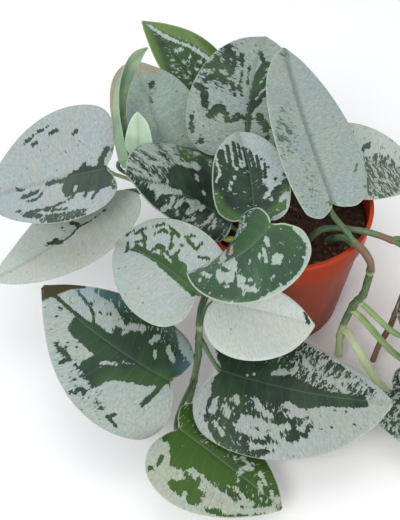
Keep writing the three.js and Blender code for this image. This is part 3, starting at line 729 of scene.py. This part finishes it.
        patch(0.4, 3, (2, 0), (5, 40), (30, 42), (50, 20), (40, -8), layer="fresh"),
        patch(-0.1, 2, (0, 0), (0, 40), (40, 40), (60, 20), (40, -10)),
        stroke(0.95, 3, (5, 95), (60, 80)), stroke(0.9, 2.4, (12, 82), (50, 76)),
        stroke(0.95, 2.6, (10, 60), (55, 62)), stroke(0, 1.3, (4, 70), (32, 73)),
        stroke(0.7, 2.2, (18, 50), (50, 48), layer="dryAndShade"), dots(1, 2.6, (0, 2), (0, -3), layer="fresh"),
        stroke(1.1, 1.5, (-40, -10), (-75, -6), (-97, 10), (-99, 26), (-92, 45)),
        dots(0.95, 1.7, (70, 8), (76, 2), (86, 16)),
        patch(0.5, 3, (60, 10), (70, 40), (110, 40), (110, 10))]),
    "front_left": dict(silver=1, colours=dict(dark="#284030", mid="#33502f", lime="#3d6029",
        cool="#a2acaa", warm="#a4aca4", silver="#8a9993"), marks=[
        patch(-0.05, 1.1, (-8, 0), (-7, 35), (-2, 46), (0, 62), (-4, 76), (8, 74), (7, 55), (12, 43),
            (40, 41), (54, 34), (32, 34), (24, 30), (26, 22), (12, 17), (8, 0)),
        patch(0.5, 4, (-10, 0), (-5, 60), (50, 60), (70, 30), (20, 10), layer="fresh"),
        stroke(0, 1.4, (10, 56), (26, 53), (30, 48), (20, 46)),
        stroke(0.1, 1.2, (42, 42), (60, 46), (60, 56), (44, 61)),
        stroke(0.1, 1.2, (10, 65), (30, 69), (42, 76)), stroke(0.15, 1.2, (66, 40), (72, 52)),
        stroke(0.1, 1.2, (68, 32), (65, 22), (80, 22)), stroke(0.2, 1, (70, 36), (84, 30)),
        stroke(0.15, 1.1, (14, 76), (22, 70)), stroke(0.2, 1, (30, 80), (48, 72)),
        stroke(0.2, 1, (58, 64), (72, 56)), stroke(0.1, 1.5, (-12, 80), (6, 84)),
        stroke(0.2, 1.1, (56, 17), (66, 10)), dots(0.5, 1.1, (-15, 20), (-76, 27), (-50, 72)),
        stroke(0.3, 1.2, (20, 90), (36, 83)), stroke(1, 1.7, (30, 38.5), (46, 36)),
        stroke(0.9, 0.9, (14, 34), (20, 44))]),
    "front_silver": dict(silver=1.08, groove=0.12, colours=dict(silver="#a5b3ac", cool="#c8d0cd",
        warm="#cbd0c8", ribShow=0.05, ribShade=0.05), marks=[
        stroke(0.15, 2.2, (-28, 90), (-2, 92)), dots(0.5, 1.1, (28, 32), (50, 14), (10, 40))]),
    "low_left": dict(silver=0.22, colours=dict(dark="#263a2d", dryAndShade="#37331c", cool="#98a4a3",
        # the sky strength on the next line paints a bluish reflection of the window along its margin
        warm="#9aa39b", skyReflectionShow=0.34), marks=[
        patch(1, 1.8, (-110, 40), (-62, 40), (-46, 37), (-32, 28), (-25, 12), (-10, 2), (-20, -12),
            (-110, -12)), patch(0.9, 1.8, (-110, 36), (-64, 40), (-68, 50), (-55, 56), (-30, 50),
            (-21, 46), (-19, 70), (-2, 73), (-2, 95), (-40, 100)),
        patch(1, 1.3, (6, 63), (20, 66), (27, 74), (46, 70), (58, 76), (40, 88), (5, 95)),
        patch(0.9, 1.3, (12, 47), (18, 60), (30, 67), (52, 70), (56, 58), (47, 50), (36, 43), (33, 50),
            (20, 50)), stroke(0, 1.2, (4, 60), (4, 93)),
        stroke(0.05, 1.1, (22, 64), (30, 72), (36, 82)), dots(0.1, 1.2, (40, 56), (33, 61)),
        patch(-0.1, 1.6, (-60, 39), (-62, 50), (-42, 52), (-22, 46), (-18, 70), (0, 71), (5, 60),
            (10, 48), (35, 36), (40, 12), (50, 0), (20, -10), (0, 0), (-12, 5), (-25, 20), (-36, 33)),
        stroke(0.35, 7, (-50, 32), (-25, 18), (-5, 5), layer="fresh"),
        stroke(0.66, 5, (-78, 30), (-72, 42), (-60, 52)), stroke(0.9, 1.4, (-27, 43), (-18, 35)),
        stroke(0.7, 0.8, (-12, 32), (-5, 25)), stroke(0.95, 2.2, (44, 40), (55, 32)),
        stroke(0.9, 1.1, (25, 42), (34, 40)), stroke(1, 1.6, (42, 22), (58, 19)),
        stroke(0.9, 1.2, (22, 15), (33, 17)), stroke(0.9, 2, (34, 3), (50, 9)),
        patch(0.9, 2, (45, -12), (60, -1), (86, 6), (110, 10), (100, -10)),
        stroke(-0.1, 1.5, (-48, 9), (-30, 6), (-8, 3)), stroke(0, 1.1, (-88, 16), (-82, 23), (-76, 20)),
        stroke(0.05, 1.5, (-60, 62), (-48, 60), (-45, 70)), stroke(0.1, 1.2, (-82, 47), (-70, 42)),
        dots(0.1, 1, (-92, 26), (-40, 65), (-30, 60), (-33, 67), (-50, 54), (-15, 82), (-5, 84),
            (14, 80)),
        # painted shadow: this patch over the tip, in the dark olive given above for its dried parts, stands
        # for the shade under left_lower
        patch(1, 1.2, (-20, 110), (-14, 95), (2, 92), (30, 87), (50, 80), (60, 90), layer="dryAndShade")]),
    "low_right": dict(silver=0.26, groove=0.2, colours=dict(cool="#9ba4a2", warm="#9fa49c"), marks=[
        patch(1, 1.8, (9, 88), (12, 62), (20, 52), (40, 57), (60, 55), (80, 42), (110, 30), (60, 85),
            (0, 110), (-30, 100), (-10, 85)),
        patch(0.45, 3, (-110, 50), (-50, 40), (-20, 52), (-8, 70), (-10, 88), (-40, 86), (-90, 60)),
        patch(-0.1, 1.6, (-34, 5), (-26, 30), (-12, 46), (-3, 60), (-3, 83), (7, 84), (12, 60),
            (20, 50), (20, 14), (32, 5), (30, -4), (0, 0), (-30, -5)),
        stroke(1, 2.3, (23, 40), (29, 49), (33, 43)), stroke(0.9, 1.4, (40, 52), (52, 50)),
        stroke(0.95, 1.8, (50, 42), (60, 33), (72, 40)),
        stroke(1, 2.6, (55, 33), (55, 20), (67, 18), (70, 29)),
        stroke(0.9, 1.7, (25, 22), (35, 25), (42, 32)), stroke(0.9, 1.2, (27, 12), (36, 13)),
        stroke(0.95, 1.8, (45, 8), (56, 10)), stroke(1, 2, (44, 1.5), (56, 2)),
        stroke(0.8, 1.1, (70, 5), (82, 11)), stroke(0.9, 1.4, (77, 42), (88, 26)),
        patch(0.95, 1.2, (10, -4), (70, -3), (110, 14), (100, -15), (10, -15)),
        stroke(1, 1.8, (-100, 42), (-80, 62), (-45, 81), (-10, 97)),
        stroke(0.95, 1.5, (-62, 58), (-50, 55)), stroke(0.95, 1.7, (-52, 47), (-45, 50)),
        stroke(0.95, 1.6, (-38, 42), (-28, 40)), stroke(0.95, 1.9, (-27, 36), (-20, 29)),
        stroke(0.9, 1.7, (-35, 60), (-15, 71)), stroke(0.85, 1.4, (-30, 68), (-34, 80)),
        dots(0.85, 1.1, (-10, 18), (-5, 14)),
        dots(0.15, 1.1, (17, 73), (20, 65), (42, 65), (46, 60), (35, 77))]),
    "bottom": dict(silver=0.2, fresh=0.4, colours=dict(dark="#263d20", mid="#304f24", lime="#3b5a22",
        warm="#a5aa90", cool="#a3ab9b", ribShow=0.3), marks=[
        stroke(0.9, 6, (5, 0), (14, 30), (16, 55), layer="fresh"),
        patch(0.9, 3, (10, 0), (30, 50), (90, 50), (80, 10), layer="fresh"),
        patch(0.95, 1.5, (55, 22), (65, 28), (80, 20), (110, 15), (100, -10), (40, -12), (34, 3),
            (55, 12)), patch(0.9, 1.3, (35, 28), (42, 38), (45, 50), (42, 62), (45, 76), (60, 70),
            (60, 60), (73, 55), (62, 42), (55, 37), (46, 31), (46, 24)), patch(-0.1, 1.5, (0, 0),
            (0, 50), (20, 58), (33, 40), (35, 26), (50, 20), (54, 12), (34, 4), (10, -2)),
        dots(0.9, 1.8, (78, 34), (84, 36)), stroke(0, 1.5, (45, 36), (60, 37)),
        stroke(-0.1, 2.6, (65, 30), (78, 22)), stroke(-0.1, 3.2, (66, 43), (95, 42)),
        stroke(0, 2.2, (70, 65), (85, 56)), stroke(0.9, 1.4, (74, 50), (92, 50)),
        stroke(0, 1.4, (55, 2), (68, 3)), dots(0, 1.6, (79, 0)), stroke(0.85, 1.6, (22, 62), (28, 76)),
        stroke(0.85, 1.7, (25, 80), (36, 73)), stroke(0.85, 1.4, (-16, 74), (0, 80)),
        stroke(0.85, 1.6, (-22, 60), (-4, 57)), stroke(1, 1.8, (-10, 94), (10, 95), (36, 83), (52, 72)),
        stroke(0.9, 4, (-70, -5), (-15, 0), layer="fresh"), stroke(0.85, 1.3, (-34, 70), (-24, 78)),
        stroke(0.85, 1.2, (-38, 54), (-30, 63)), stroke(0.85, 1.2, (-16, 86), (-5, 89)),
        dots(0.9, 1.2, (-32, 40), (-25, 48), (-42, 62)),
        patch(1, 1.3, (110, 10), (87, 20), (88, 40), (82, 55), (74, 68), (60, 80), (70, 90), (110, 70))]),
    "young_rolled": dict(colours=dict(dark="#779179", mid="#90a888", silver="#82a08c", cool="#9db49a",
        warm="#9db49a", rimShow=0.3), marks=[
        stroke(0.7, 3, (30, 25), (80, 35))]),
    "young_pale": dict(colours=dict(dark="#a8c2a7", mid="#b6cfb4", silver="#bad0b4", cool="#bad0b4",
        warm="#bad0b4", rim="#cddcc4")),
    "right_upper": dict(silver=0.6),
    "right_middle": dict(silver=0.35),
    "right_outer": dict(silver=0.4),
    "right_low": dict(silver=0.45),
    "rear_left": dict(silver=0.85),
    "rear_right": dict(silver=0.8),
}

tubeCap = ((0.75, 0.0), (0.55, 0.62), (0.2, 0.93))  # rounded end: how far out and how thick, in radii


def rolledTube(name, line, radii, around=14, flatten=0.0, seed=0):  # a grid rolled up round a line
    tangent = unit(np.gradient(line, axis=0))
    first = [(line[0] - tangent[0] * radii[0] * out, radii[0] * thick) for out, thick in tubeCap]
    last = [(line[-1] + tangent[-1] * radii[-1] * out, radii[-1] * thick) for out, thick in reversed(tubeCap)]
    centres = np.array([place for place, _ in first] + list(line) + [place for place, _ in last])
    sizes = np.array([size for _, size in first] + list(radii) + [size for _, size in last])
    facing = np.vstack([tangent[:1]] * len(first) + [tangent] + [tangent[-1:]] * len(last))
    sideways = np.cross(facing[0], (0, 0, 1) if abs(facing[0][2]) < 0.9 else (1, 0, 0))
    across = []
    for direction in facing:  # carried along so that the tube doesn't twist
        sideways = unit(sideways - direction * sideways.dot(direction))
        across.append(sideways)
    across = np.array(across)
    other = np.cross(facing, across)
    deselectAll()
    rows = len(centres) - 1
    bpy.ops.mesh.primitive_grid_add(x_subdivisions=around, y_subdivisions=rows, size=2)
    tube = named(bpy.context.object, name)
    flat = corners(tube.data)
    turn = -(flat[:, 0] + 1) * math.pi
    row = np.rint((flat[:, 1] + 1) / 2 * rows).astype(int)
    wide, high = np.cos(turn) * (1 + flatten), np.sin(turn) * (1 - 0.5 * flatten)
    size = sizes[row]
    place = centres[row] + across[row] * (size * wide)[:, None] + other[row] * (size * high)[:, None]
    moveCorners(tube.data, place * mm)
    addPainted(tube.data, "grain", "FLOAT_VECTOR", np.stack(
        [np.cos(turn) * 3, runAlong(centres)[row], np.sin(turn) * 3 + 20 * seed], -1))
    addPainted(tube.data, "reach", "FLOAT", row / rows)
    pick(tube)
    editAll()
    bpy.ops.mesh.remove_doubles(threshold=0.00001)
    turnOutwards()
    bpy.ops.object.shade_smooth()
    return tube


def vinePoint(name, share):  # place at a share of the vine's real length, and that length
    route, stops = vineRuns[name]["route"], np.linspace(0, 1, 400)
    run = runAlong(smoothThrough(route, stops))
    return smoothThrough(route, np.interp(np.asarray(share, float) * run[-1], run, stops)), run[-1]


# A mark on a stem is bark or pale and has the shares of the length between which it lies.
stemLook = dict(young="#4b6845", old="#395335", bark="#785a48", pale="#a3b384", gloss=0.45, marks=())
shootLook = dict(young="#bcbc48", old="#a4ad44", bark="#8f7c3a", pale="#d6d387", gloss=0.4,
                 marks=[("pale", 0.0, 0.12)])
petioleLooks = dict(
    green=dict(young="#4d6b44", old="#3c5838", bark="#76664a", pale="#86a070", marks=[("pale", 0.9, 0.98)]),
    fresh=dict(young="#86a065", old="#718c55", bark="#8c7a55", pale="#a8bc88", marks=[("pale", 0.0, 0.2)]),
    pale=dict(young="#b7c69c", old="#a6b888", bark="#a8976a", pale="#ccd6b6"))


def stemFinish(name, changes):
    look = {**stemLook, **changes}
    finish = Finish(name)
    grain = finish.painted("grain")
    reach = finish.painted("reach", "Fac")
    broad = finish.noise(grain, (0.2, 0.06, 0.2))
    streak = finish.noise(grain, (1.6, 0.18, 1.6), 3.0, 0.6)
    speck = finish.noise(grain, (1.2, 1.2, 1.2), 3.0, 0.7)
    body = finish.blend(finish.step(broad, 0.35, 0.65), look["young"], look["old"])
    body = finish.blend(finish.step(streak, 0.4, 0.7) * 0.35, body, look["pale"])
    soft = 0.012  # half of the soft edge of a mark, as a share of the length
    for kind, start, end in look["marks"]:
        place = reach + (speck - 0.5) * 0.03
        begun, over = (finish.step(place, border - soft, border + soft) for border in (start, end))
        body = finish.blend(begun * (1 - over) * 0.9, body, look[kind])
    body = finish.blend(finish.step(speck, 0.62, 0.72) * 0.5, body, look["bark"])
    finish.set("Base Color", body)
    finish.set("Roughness", look["gloss"] + (streak - 0.5) * 0.2)
    finish.bump(streak * 0.6 + speck * 0.4, 0.0003, 0.7)
    return finish.material


# The joints of each vine, as shares of its length, and the marks on it.
vineLooks = {
    "front": dict(joints=(0.16, 0.26, 0.47, 0.6, 0.67, 0.76, 0.9),
                  marks=[("bark", 0.2, 0.23), ("pale", 0.6, 0.62)]),
    "left": dict(joints=(0.2, 0.49, 0.58, 0.67, 0.74, 0.88), marks=[("bark", 0.3, 0.34)]),
    "back": dict(joints=(0.2, 0.5, 0.8), marks=[("bark", 0.4, 0.45)]),
    "centre": dict(joints=(0.48, 0.8), marks=[]),
    "right": dict(joints=(0.25, 0.44, 0.63, 0.68, 0.72, 0.9),
                  marks=[("bark", 0.28, 0.42), ("pale", 0.44, 0.46), ("pale", 0.82, 1.1)]),
    "right_upper": dict(joints=(0.2, 0.34, 0.5, 0.66, 0.82), marks=[("bark", 0.3, 0.36), ("bark", 0.6, 1.1)]),
    "far_right": dict(joints=(0.5,), marks=[]),
    "rear": dict(joints=(0.3, 0.56, 0.85), marks=[("bark", 0.4, 0.46)]),
}
vineMake = dict(around=18, pieceLength=1.3, fewest=24, thinner=0.95, uneven=0.04, unevenLength=5,
                jointSwell=0.2, jointWidth=2.6, neck=0.1, neckPlace=2.9, neckWidth=0.9)


def makeVine(name, seed):
    make, joints = vineMake, vineLooks[name]["joints"]
    _, length = vinePoint(name, 0)
    shares = np.linspace(0, 1, max(make["fewest"], int(length / make["pieceLength"])))
    line, _ = vinePoint(name, shares)
    push = np.random.default_rng(seed).uniform(0, 6)
    swell = 1 + make["uneven"] * np.sin(shares * length / make["unevenLength"] + push)
    for joint in joints:
        away = (shares - joint) * length
        swell += (make["jointSwell"] * bell(away, make["jointWidth"])
                  - make["neck"] * bell(away, make["neckWidth"], make["neckPlace"]))
    radii = vineRuns[name]["radius"] * make["thinner"] * swell
    vine = rolledTube("stem_" + name, line, radii, make["around"], seed=seed)
    wear(vine, stemFinish(vine.name, dict(marks=vineLooks[name]["marks"])))
    return vine


# A stalk leaves its vine rising and comes up to its blade from behind and below: the shares of its reach
# by which it does so, and how far it ends inside the blade's foot and under it.
stalkRun = dict(leave=0.2, rise=0.15, behind=0.21, below=0.31, inside=2, under=0.9)
# Radii at the foot, in the middle and at the joint below the blade, and the share left at the tip.
stalkLook = dict(foot=1.75, footLength=14, middle=1.25, joint=1.55, jointLength=9, tip=0.55, tipLength=2.5,
                 flatten=0.12, finish="green")
stalkChanges = {
    "right_silver": dict(middle=1.9, flatten=0.1),
    "right_outer": dict(middle=1.9, flatten=0.3, finish="fresh"),
    "right_low": dict(middle=2.0, flatten=0.5, finish="pale"),
    "right_middle": dict(middle=1.8, flatten=0.2, finish="fresh"),
    "glossy_heart": dict(joint=2.1, finish="pale"),
    "left_upper": dict(joint=1.9, finish="pale"),
}
petioleFinishes = {key: stemFinish("petiole" + key.title(), look) for key, look in petioleLooks.items()}


def makeStalk(name, form, seed):
    look = {**stalkLook, **stalkChanges.get(name, {})}
    start = vinePoint(form["vine"], form["at"])[0]
    along, _, up = (direction.reshape(3) for direction in directions(form, np.zeros(1)))
    end = np.array(form["base"]) + along * stalkRun["inside"] - up * stalkRun["under"]
    reach = np.linalg.norm(end - start)
    leaving = start + (end - start) * stalkRun["leave"] + np.array([0, 0, stalkRun["rise"] * reach])
    arriving = end - along * stalkRun["behind"] * reach - up * stalkRun["below"] * reach
    share = np.linspace(0, 1, max(30, int(reach / 1.1)))[:, None]
    line = ((1 - share) ** 3 * start + 3 * (1 - share) ** 2 * share * leaving
            + 3 * (1 - share) * share ** 2 * arriving + share ** 3 * end)
    run = runAlong(line)
    toEnd = run[-1] - run
    middle, joint = look["middle"], look["jointLength"]
    size = middle + (look["foot"] - middle) * ease(look["footLength"], 0, run)
    size += (look["joint"] - middle) * ease(joint + 2, joint - 3, toEnd)
    size *= look["tip"] + (1 - look["tip"]) * ease(0, look["tipLength"], toEnd)
    stalk = rolledTube("petiole_" + name, line, size, flatten=look["flatten"], seed=seed)
    wear(stalk, petioleFinishes[look["finish"]])
    return stalk


# The profile has shares of the length and the radius there, and the waist is a ring round the shoot.
shootMake = dict(around=18, start=1.2, length=8.6, flatten=0.12, seed=5,
                 profile=((0, 1.9), (0.3, 2.4), (0.6, 1.6), (0.85, 0.75), (1, 0.25)),
                 waist=0.12, waistPlace=0.42, waistWidth=0.025)


def makeShoot():
    make = shootMake
    end, _ = vinePoint("centre", 1.0)
    before, _ = vinePoint("centre", 0.97)
    share = np.linspace(0, 1, 40)
    line = end + unit(end - before) * (make["start"] + share[:, None] * make["length"])
    size = np.interp(share, *zip(*make["profile"]))
    size *= 1 - make["waist"] * bell(share, make["waistWidth"], make["waistPlace"])
    shoot = rolledTube("shootTip", line, size, make["around"], make["flatten"], make["seed"])
    wear(shoot, stemFinish("shootTip", shootLook))
    return shoot


potMake = dict(sides=144, height=100, lipRadius=60, lipHeight=3, lipOverhang=1.2, collarHeight=18,
               collarStep=2.4, baseRadius=47, wall=1.6, floor=2.2, drainHoles=5, drainRadius=4,
               drainCircle=30, drillDepth=12, rounding=0.45, roundFrom=28, smoothBelow=40)
# The collar colour is painted shade for the band under the lip.
potLook = dict(body="#bf4522", other="#ac3b1b", collar="#8a2f1a", drips="#b97a60", innerLowPatches="#4a3028",
               foot="#6a4034", roughness=0.46, shine=0.18)


def startRound(name, sides, radius, level):  # a disc to grow upwards from, left in edit mode
    deselectAll()
    bpy.ops.mesh.primitive_circle_add(vertices=sides, radius=radius * mm, fill_type="NGON",
                                      location=(0, 0, level * mm))
    piece = named(bpy.context.object, name)
    editAll()
    return piece


def growRound(radius, level, rings):  # extrudes to each ring (radius and level) in turn
    for nextRadius, nextLevel in rings:
        bpy.ops.mesh.extrude_region_move(TRANSFORM_OT_translate={"value": (0, 0, (nextLevel - level) * mm)})
        bpy.ops.transform.resize(value=(nextRadius / radius, nextRadius / radius, 1),
                                 center_override=(0, 0, nextLevel * mm))
        radius, level = nextRadius, nextLevel
    return radius


def makePot():
    make = potMake
    collar = make["lipRadius"] - make["lipOverhang"]
    wallTop, collarFoot = collar - make["collarStep"], make["height"] - make["collarHeight"]
    underLip, inside = make["height"] - make["lipHeight"], collar - make["wall"]
    pot = startRound("nurseryPot", make["sides"], make["baseRadius"] - 0.6, 0.0)
    growRound(make["baseRadius"] - 0.6, 0.0, [
        (make["baseRadius"], 0.6), (wallTop, collarFoot - 0.6), (collar - 0.3, collarFoot),
        (collar, underLip), (make["lipRadius"], underLip + 0.5), (make["lipRadius"], make["height"]),
        (inside, make["height"]), (inside, collarFoot + make["wall"]),
        (wallTop - make["wall"], collarFoot - 1.6),
        (make["baseRadius"] - make["wall"], make["floor"] + 0.8), (make["baseRadius"] - 3.5, make["floor"])])
    turnOutwards()
    for i in range(make["drainHoles"]):
        turn, far = 2 * math.pi * (i + 0.5) / make["drainHoles"], make["drainCircle"] * mm
        deselectAll()
        bpy.ops.mesh.primitive_cylinder_add(vertices=32, radius=make["drainRadius"] * mm,
                                            depth=make["drillDepth"] * mm,
                                            location=(far * math.cos(turn), far * math.sin(turn), 0))
        drill = bpy.context.object
        modify(pot, "BOOLEAN", object=drill, operation="DIFFERENCE", solver="EXACT")
        bpy.data.objects.remove(drill)
    modify(pot, "BEVEL", width=make["rounding"] * mm, segments=3, limit_method="ANGLE",
           angle_limit=math.radians(make["roundFrom"]))
    bpy.ops.object.shade_smooth_by_angle(angle=math.radians(make["smoothBelow"]))
    return pot


def potFinish():
    make, finish = potMake, Finish("terracottaPlastic", Specular_IOR_Level=potLook["shine"])
    here = finish.node("TexCoord", None, None, "Object")
    x, y, z = finish.parts(here)
    broad = finish.noise(here, 22, 3.0)
    fine = finish.noise(here, 900)
    drips = finish.noise(here, (60, 60, 6), 3.0, 0.6)
    spots = finish.noise(here, 240, 3.0, 0.7)
    foot, top = (make["height"] - make["collarHeight"]) * mm, (make["height"] - make["lipHeight"]) * mm
    inside = (make["lipRadius"] - make["lipOverhang"] - make["wall"]) * mm
    collar = finish.step(z, foot - 1.5 * mm, foot + 0.5 * mm) * (1 - finish.step(z, top - 1.5 * mm, top))
    inner = 1 - finish.step((x * x + y * y) ** 0.5, inside - 1.2 * mm, inside + 0.2 * mm)
    body = finish.blend(finish.step(broad, 0.35, 0.65), potLook["body"], potLook["other"])
    # painted shade: the collar band is darkened to offset the light that falls on it more than on the wall
    for factor, colour in ((collar * 0.6, "collar"), (finish.step(drips, 0.56, 0.72) * 0.1, "drips"),
                           # darker patches on the inside wall, more of them lower down towards the soil
                           (inner * finish.step(spots + (0.09 - z) * 26, 0.62, 0.75) * 0.55, "innerLowPatches"),
                           # darker in patches along the bottom few mm of the pot
                           ((1 - finish.step(z + (spots - 0.5) * 0.01, 0.001, 0.008)) * 0.35, "foot")):
        body = finish.blend(factor, body, potLook[colour])
    finish.set("Base Color", body)
    dull = finish.step(drips, 0.55, 0.75) * 0.15
    finish.set("Roughness", potLook["roughness"] + (broad - 0.5) * 0.2 + dull)
    finish.bump(fine * 0.6 + broad, 0.00012, 0.5)
    return finish.material


soilMake = dict(sides=96, rings=22, shoulder=(54, 80), widestFrom=84, edge=86.2, top=87, gap=0.9,
                rounding=0.8, crown=2.5, flatFrom=57, smoothBelow=50, seed=7,
                bumps=((13, 0.7), (7, 0.5), (4, 0.35), (2.6, 0.25)))  # width and height of the bumps
soilLook = dict(dark="#33241f", light="#543b30", fleck="#8a6148", roughness=0.86, shine=0.25)


def makeSoil():
    make, pot = soilMake, potMake
    outer = pot["lipRadius"] - pot["lipOverhang"] - pot["wall"] - make["gap"]
    foot, level = pot["baseRadius"] - pot["wall"] - 1.2, pot["floor"] + 0.5
    soil = startRound("pottingSoil", make["sides"], foot, level)
    radius = growRound(foot, level, [make["shoulder"], (outer, make["widestFrom"]), (outer, make["edge"]),
                                     (outer - make["rounding"], make["top"])])
    for _ in range(make["rings"]):
        bpy.ops.mesh.inset(thickness=(radius / (make["rings"] + 0.6)) * mm)
    turnOutwards()
    applyPlace(soil)
    flat = corners(soil.data)
    luck = np.random.default_rng(make["seed"])
    x, y = flat[:, 0] / mm, flat[:, 1] / mm
    bumps = 0 * x
    for size, high in make["bumps"]:
        for _ in range(5):
            turn, push = luck.uniform(0, math.pi), luck.uniform(0, 6.3)
            beat = 2 * math.pi / (size * luck.uniform(0.8, 1.2))
            bumps += high / 2.2 * np.sin((x * math.cos(turn) + y * math.sin(turn)) * beat + push)
    top = flat[:, 2] > (make["top"] - 0.1) * mm
    far = np.hypot(x, y)
    middle = 1 - np.clip(far / 56, 0, 1) ** 2
    rise = (bumps + make["crown"] * middle) * np.clip((make["flatFrom"] - far) / 4, 0, 1)
    flat[top, 2] += rise[top] * mm
    moveCorners(soil.data, flat)
    pick(soil)
    bpy.ops.object.shade_smooth_by_angle(angle=math.radians(make["smoothBelow"]))
    return soil


def soilTop(soil, x, y):  # height of the soil under a place
    hit, place, _, _ = soil.ray_cast(Vector((x * mm, y * mm, 0.13)), Vector((0, 0, -1)))
    return place.z / mm if hit else soilMake["top"]


crumbMake = dict(count=420, seed=8, reach=55.5, small=(0.45, 1.5), large=(1.4, 2.2), largeEvery=9, lumps=0.22)
crumbLook = dict(soilLook, dark="#33231e", light="#593f33", fleck="#9c6a4a")


def makeCrumbs(soil):
    make = crumbMake
    luck = np.random.default_rng(make["seed"])
    deselectAll()
    bpy.ops.mesh.primitive_ico_sphere_add(subdivisions=2, radius=1 * mm)
    first = bpy.context.object
    for vertex in first.data.vertices:
        x, y, z = vertex.co
        vertex.co *= 1 + make["lumps"] * math.sin(9000 * x + 2) * math.cos(7000 * y + 11000 * z)
    copies = []
    for i in range(make["count"]):
        far, turn = make["reach"] * math.sqrt(luck.uniform(0, 1)), luck.uniform(0, 2 * math.pi)
        x, y = far * math.cos(turn), far * math.sin(turn)
        size = luck.uniform(*(make["small"] if i % make["largeEvery"] else make["large"]))
        wide, deep = size * luck.uniform(0.8, 1.9), size * luck.uniform(0.6, 1.1)
        stretch = Matrix.Diagonal((wide, deep, size * 0.7, 1))
        turned, tipped = luck.uniform(0, 6.3), luck.uniform(-0.5, 0.5)
        spin = Matrix.Rotation(turned, 4, "Z") @ Matrix.Rotation(tipped, 4, "X")
        place = Matrix.Translation((x * mm, y * mm, (soilTop(soil, x, y) + 0.2 * size) * mm))
        mesh = first.data.copy()
        mesh.transform(place @ spin @ stretch)
        addPainted(mesh, "tone", "FLOAT", np.full(len(mesh.vertices), luck.uniform(0, 1)))
        crumb = bpy.data.objects.new("crumb", mesh)
        bpy.context.collection.objects.link(crumb)
        copies.append(crumb)
    bpy.data.objects.remove(first)
    deselectAll()
    for crumb in copies:
        crumb.select_set(True)
    bpy.context.view_layer.objects.active = copies[0]
    bpy.ops.object.join()
    bpy.ops.object.shade_smooth()
    return named(bpy.context.object, "soilCrumbs")


def soilFinish(name, look, crumbs=False):
    finish = Finish(name, Specular_IOR_Level=look["shine"])
    here = finish.node("TexCoord", None, None, "Object")
    lumps = finish.noise(here, 320, 4.0, 0.65)
    grit = finish.noise(here, 1100, 3.0, 0.7)
    fibres = finish.noise(here, (500, 1600, 700))
    body = finish.blend(finish.step(lumps, 0.35, 0.65), look["dark"], look["light"])
    body = finish.blend(finish.step(fibres, 0.6, 0.68) * 0.6, body, look["fleck"])
    if crumbs:
        tone = finish.painted("tone", "Fac")
        body = finish.blend(finish.step(tone, 0.72, 0.8) * 0.7, body, look["fleck"])
        body = finish.blend((1 - finish.step(tone, 0.2, 0.3)) * 0.6, body, look["dark"])
    finish.set("Base Color", body)
    finish.set("Roughness", look["roughness"] + (grit - 0.5) * 0.15)
    finish.bump(lumps + grit * 0.5, 0.0011, 0.9)
    return finish.material


pot = makePot()
wear(pot, potFinish())
putOn(pot, "pot", "pot")
print("pot made")

soil = makeSoil()
crumbs = makeCrumbs(soil)
wear(soil, soilFinish("pottingSoil", soilLook))
wear(crumbs, soilFinish("soilCrumbs", crumbLook, crumbs=True))
putOn(soil, "soil", "soil")
putOn(crumbs, "soil")
print("soil made")

for seed, name in enumerate(vineRuns):
    putOn(makeVine(name, seed + 1), "vine", "vine_" + name)
putOn(makeShoot(), "shoot", "shoot_tip")
print("stems made")

blank = bladeBlank()
for seed, (name, form) in enumerate(leafForms.items()):
    paint = bladePaint[name]
    blade = makeBlade(name, form, paint, blank, seed + 1)
    under = oliveFinish if name in ("back_rolled", "young_rolled", "young_pale") else underFinish
    wear(blade, bladeTop("bladeTop_" + name, paint.get("colours", {})), under, rimFinish)
    putOn(blade, "leaf_" + form["look"], "leaf_" + name)
    putOn(makeStalk(name, form, seed + 1), "stalk", "stalk_" + name)
bpy.data.objects.remove(blank)
print("leaves made")

# Place, aim, size, power and colour of each light, and the light that comes from all round.
stageLook = dict(floor="#ffffff", sky=0.62, lights=dict(
    key=((-0.45, -0.75, 0.95), (-0.03, -0.02, 0.1), 0.5, 4.8, (1, 1, 1)),
    fill=((0.62, -0.72, 0.3), (0.02, -0.03, 0.06), 0.5, 2.8, (1, 1, 1)),
    top=((0.0, 0.3, 1.2), (-0.03, -0.02, 0.1), 0.9, 2.6, (1, 1, 1)),
    window=((-0.7, 0.55, 0.75), (-0.05, -0.04, 0.1), 0.7, 2.2, (0.72, 0.86, 1.0))))
cameraLook = dict(place=(-0.0565, -0.4042, 0.5196), tilt=40, lens=59.95, sensor=36)

deselectAll()
bpy.ops.mesh.primitive_plane_add(size=6)
floor = named(bpy.context.object, "floor")
floorFinish = Finish("floor", Roughness=0.8)
floorFinish.set("Base Color", stageLook["floor"])
wear(floor, floorFinish.material)

world = bpy.data.worlds.new("studio")
bpy.context.scene.world = world
world.use_nodes = True
background = world.node_tree.nodes["Background"].inputs
background["Color"].default_value = (1, 1, 1, 1)
background["Strength"].default_value = stageLook["sky"]

for name, (place, aim, size, power, colour) in stageLook["lights"].items():
    deselectAll()
    bpy.ops.object.light_add(type="AREA", location=place)
    light = bpy.context.object
    light.name = name
    light.data.shape, light.data.size, light.data.energy = "DISK", size, power
    light.data.color = colour
    light.rotation_euler = (Vector(aim) - Vector(place)).to_track_quat("-Z", "Y").to_euler()

deselectAll()
bpy.ops.object.camera_add(location=cameraLook["place"], rotation=(math.radians(cameraLook["tilt"]), 0, 0))
camera = bpy.context.object
camera.data.lens, camera.data.sensor_width = cameraLook["lens"], cameraLook["sensor"]
camera.data.clip_start = 0.02
bpy.context.scene.camera = camera
bpy.context.scene.view_settings.view_transform = "Standard"
print("stage set")
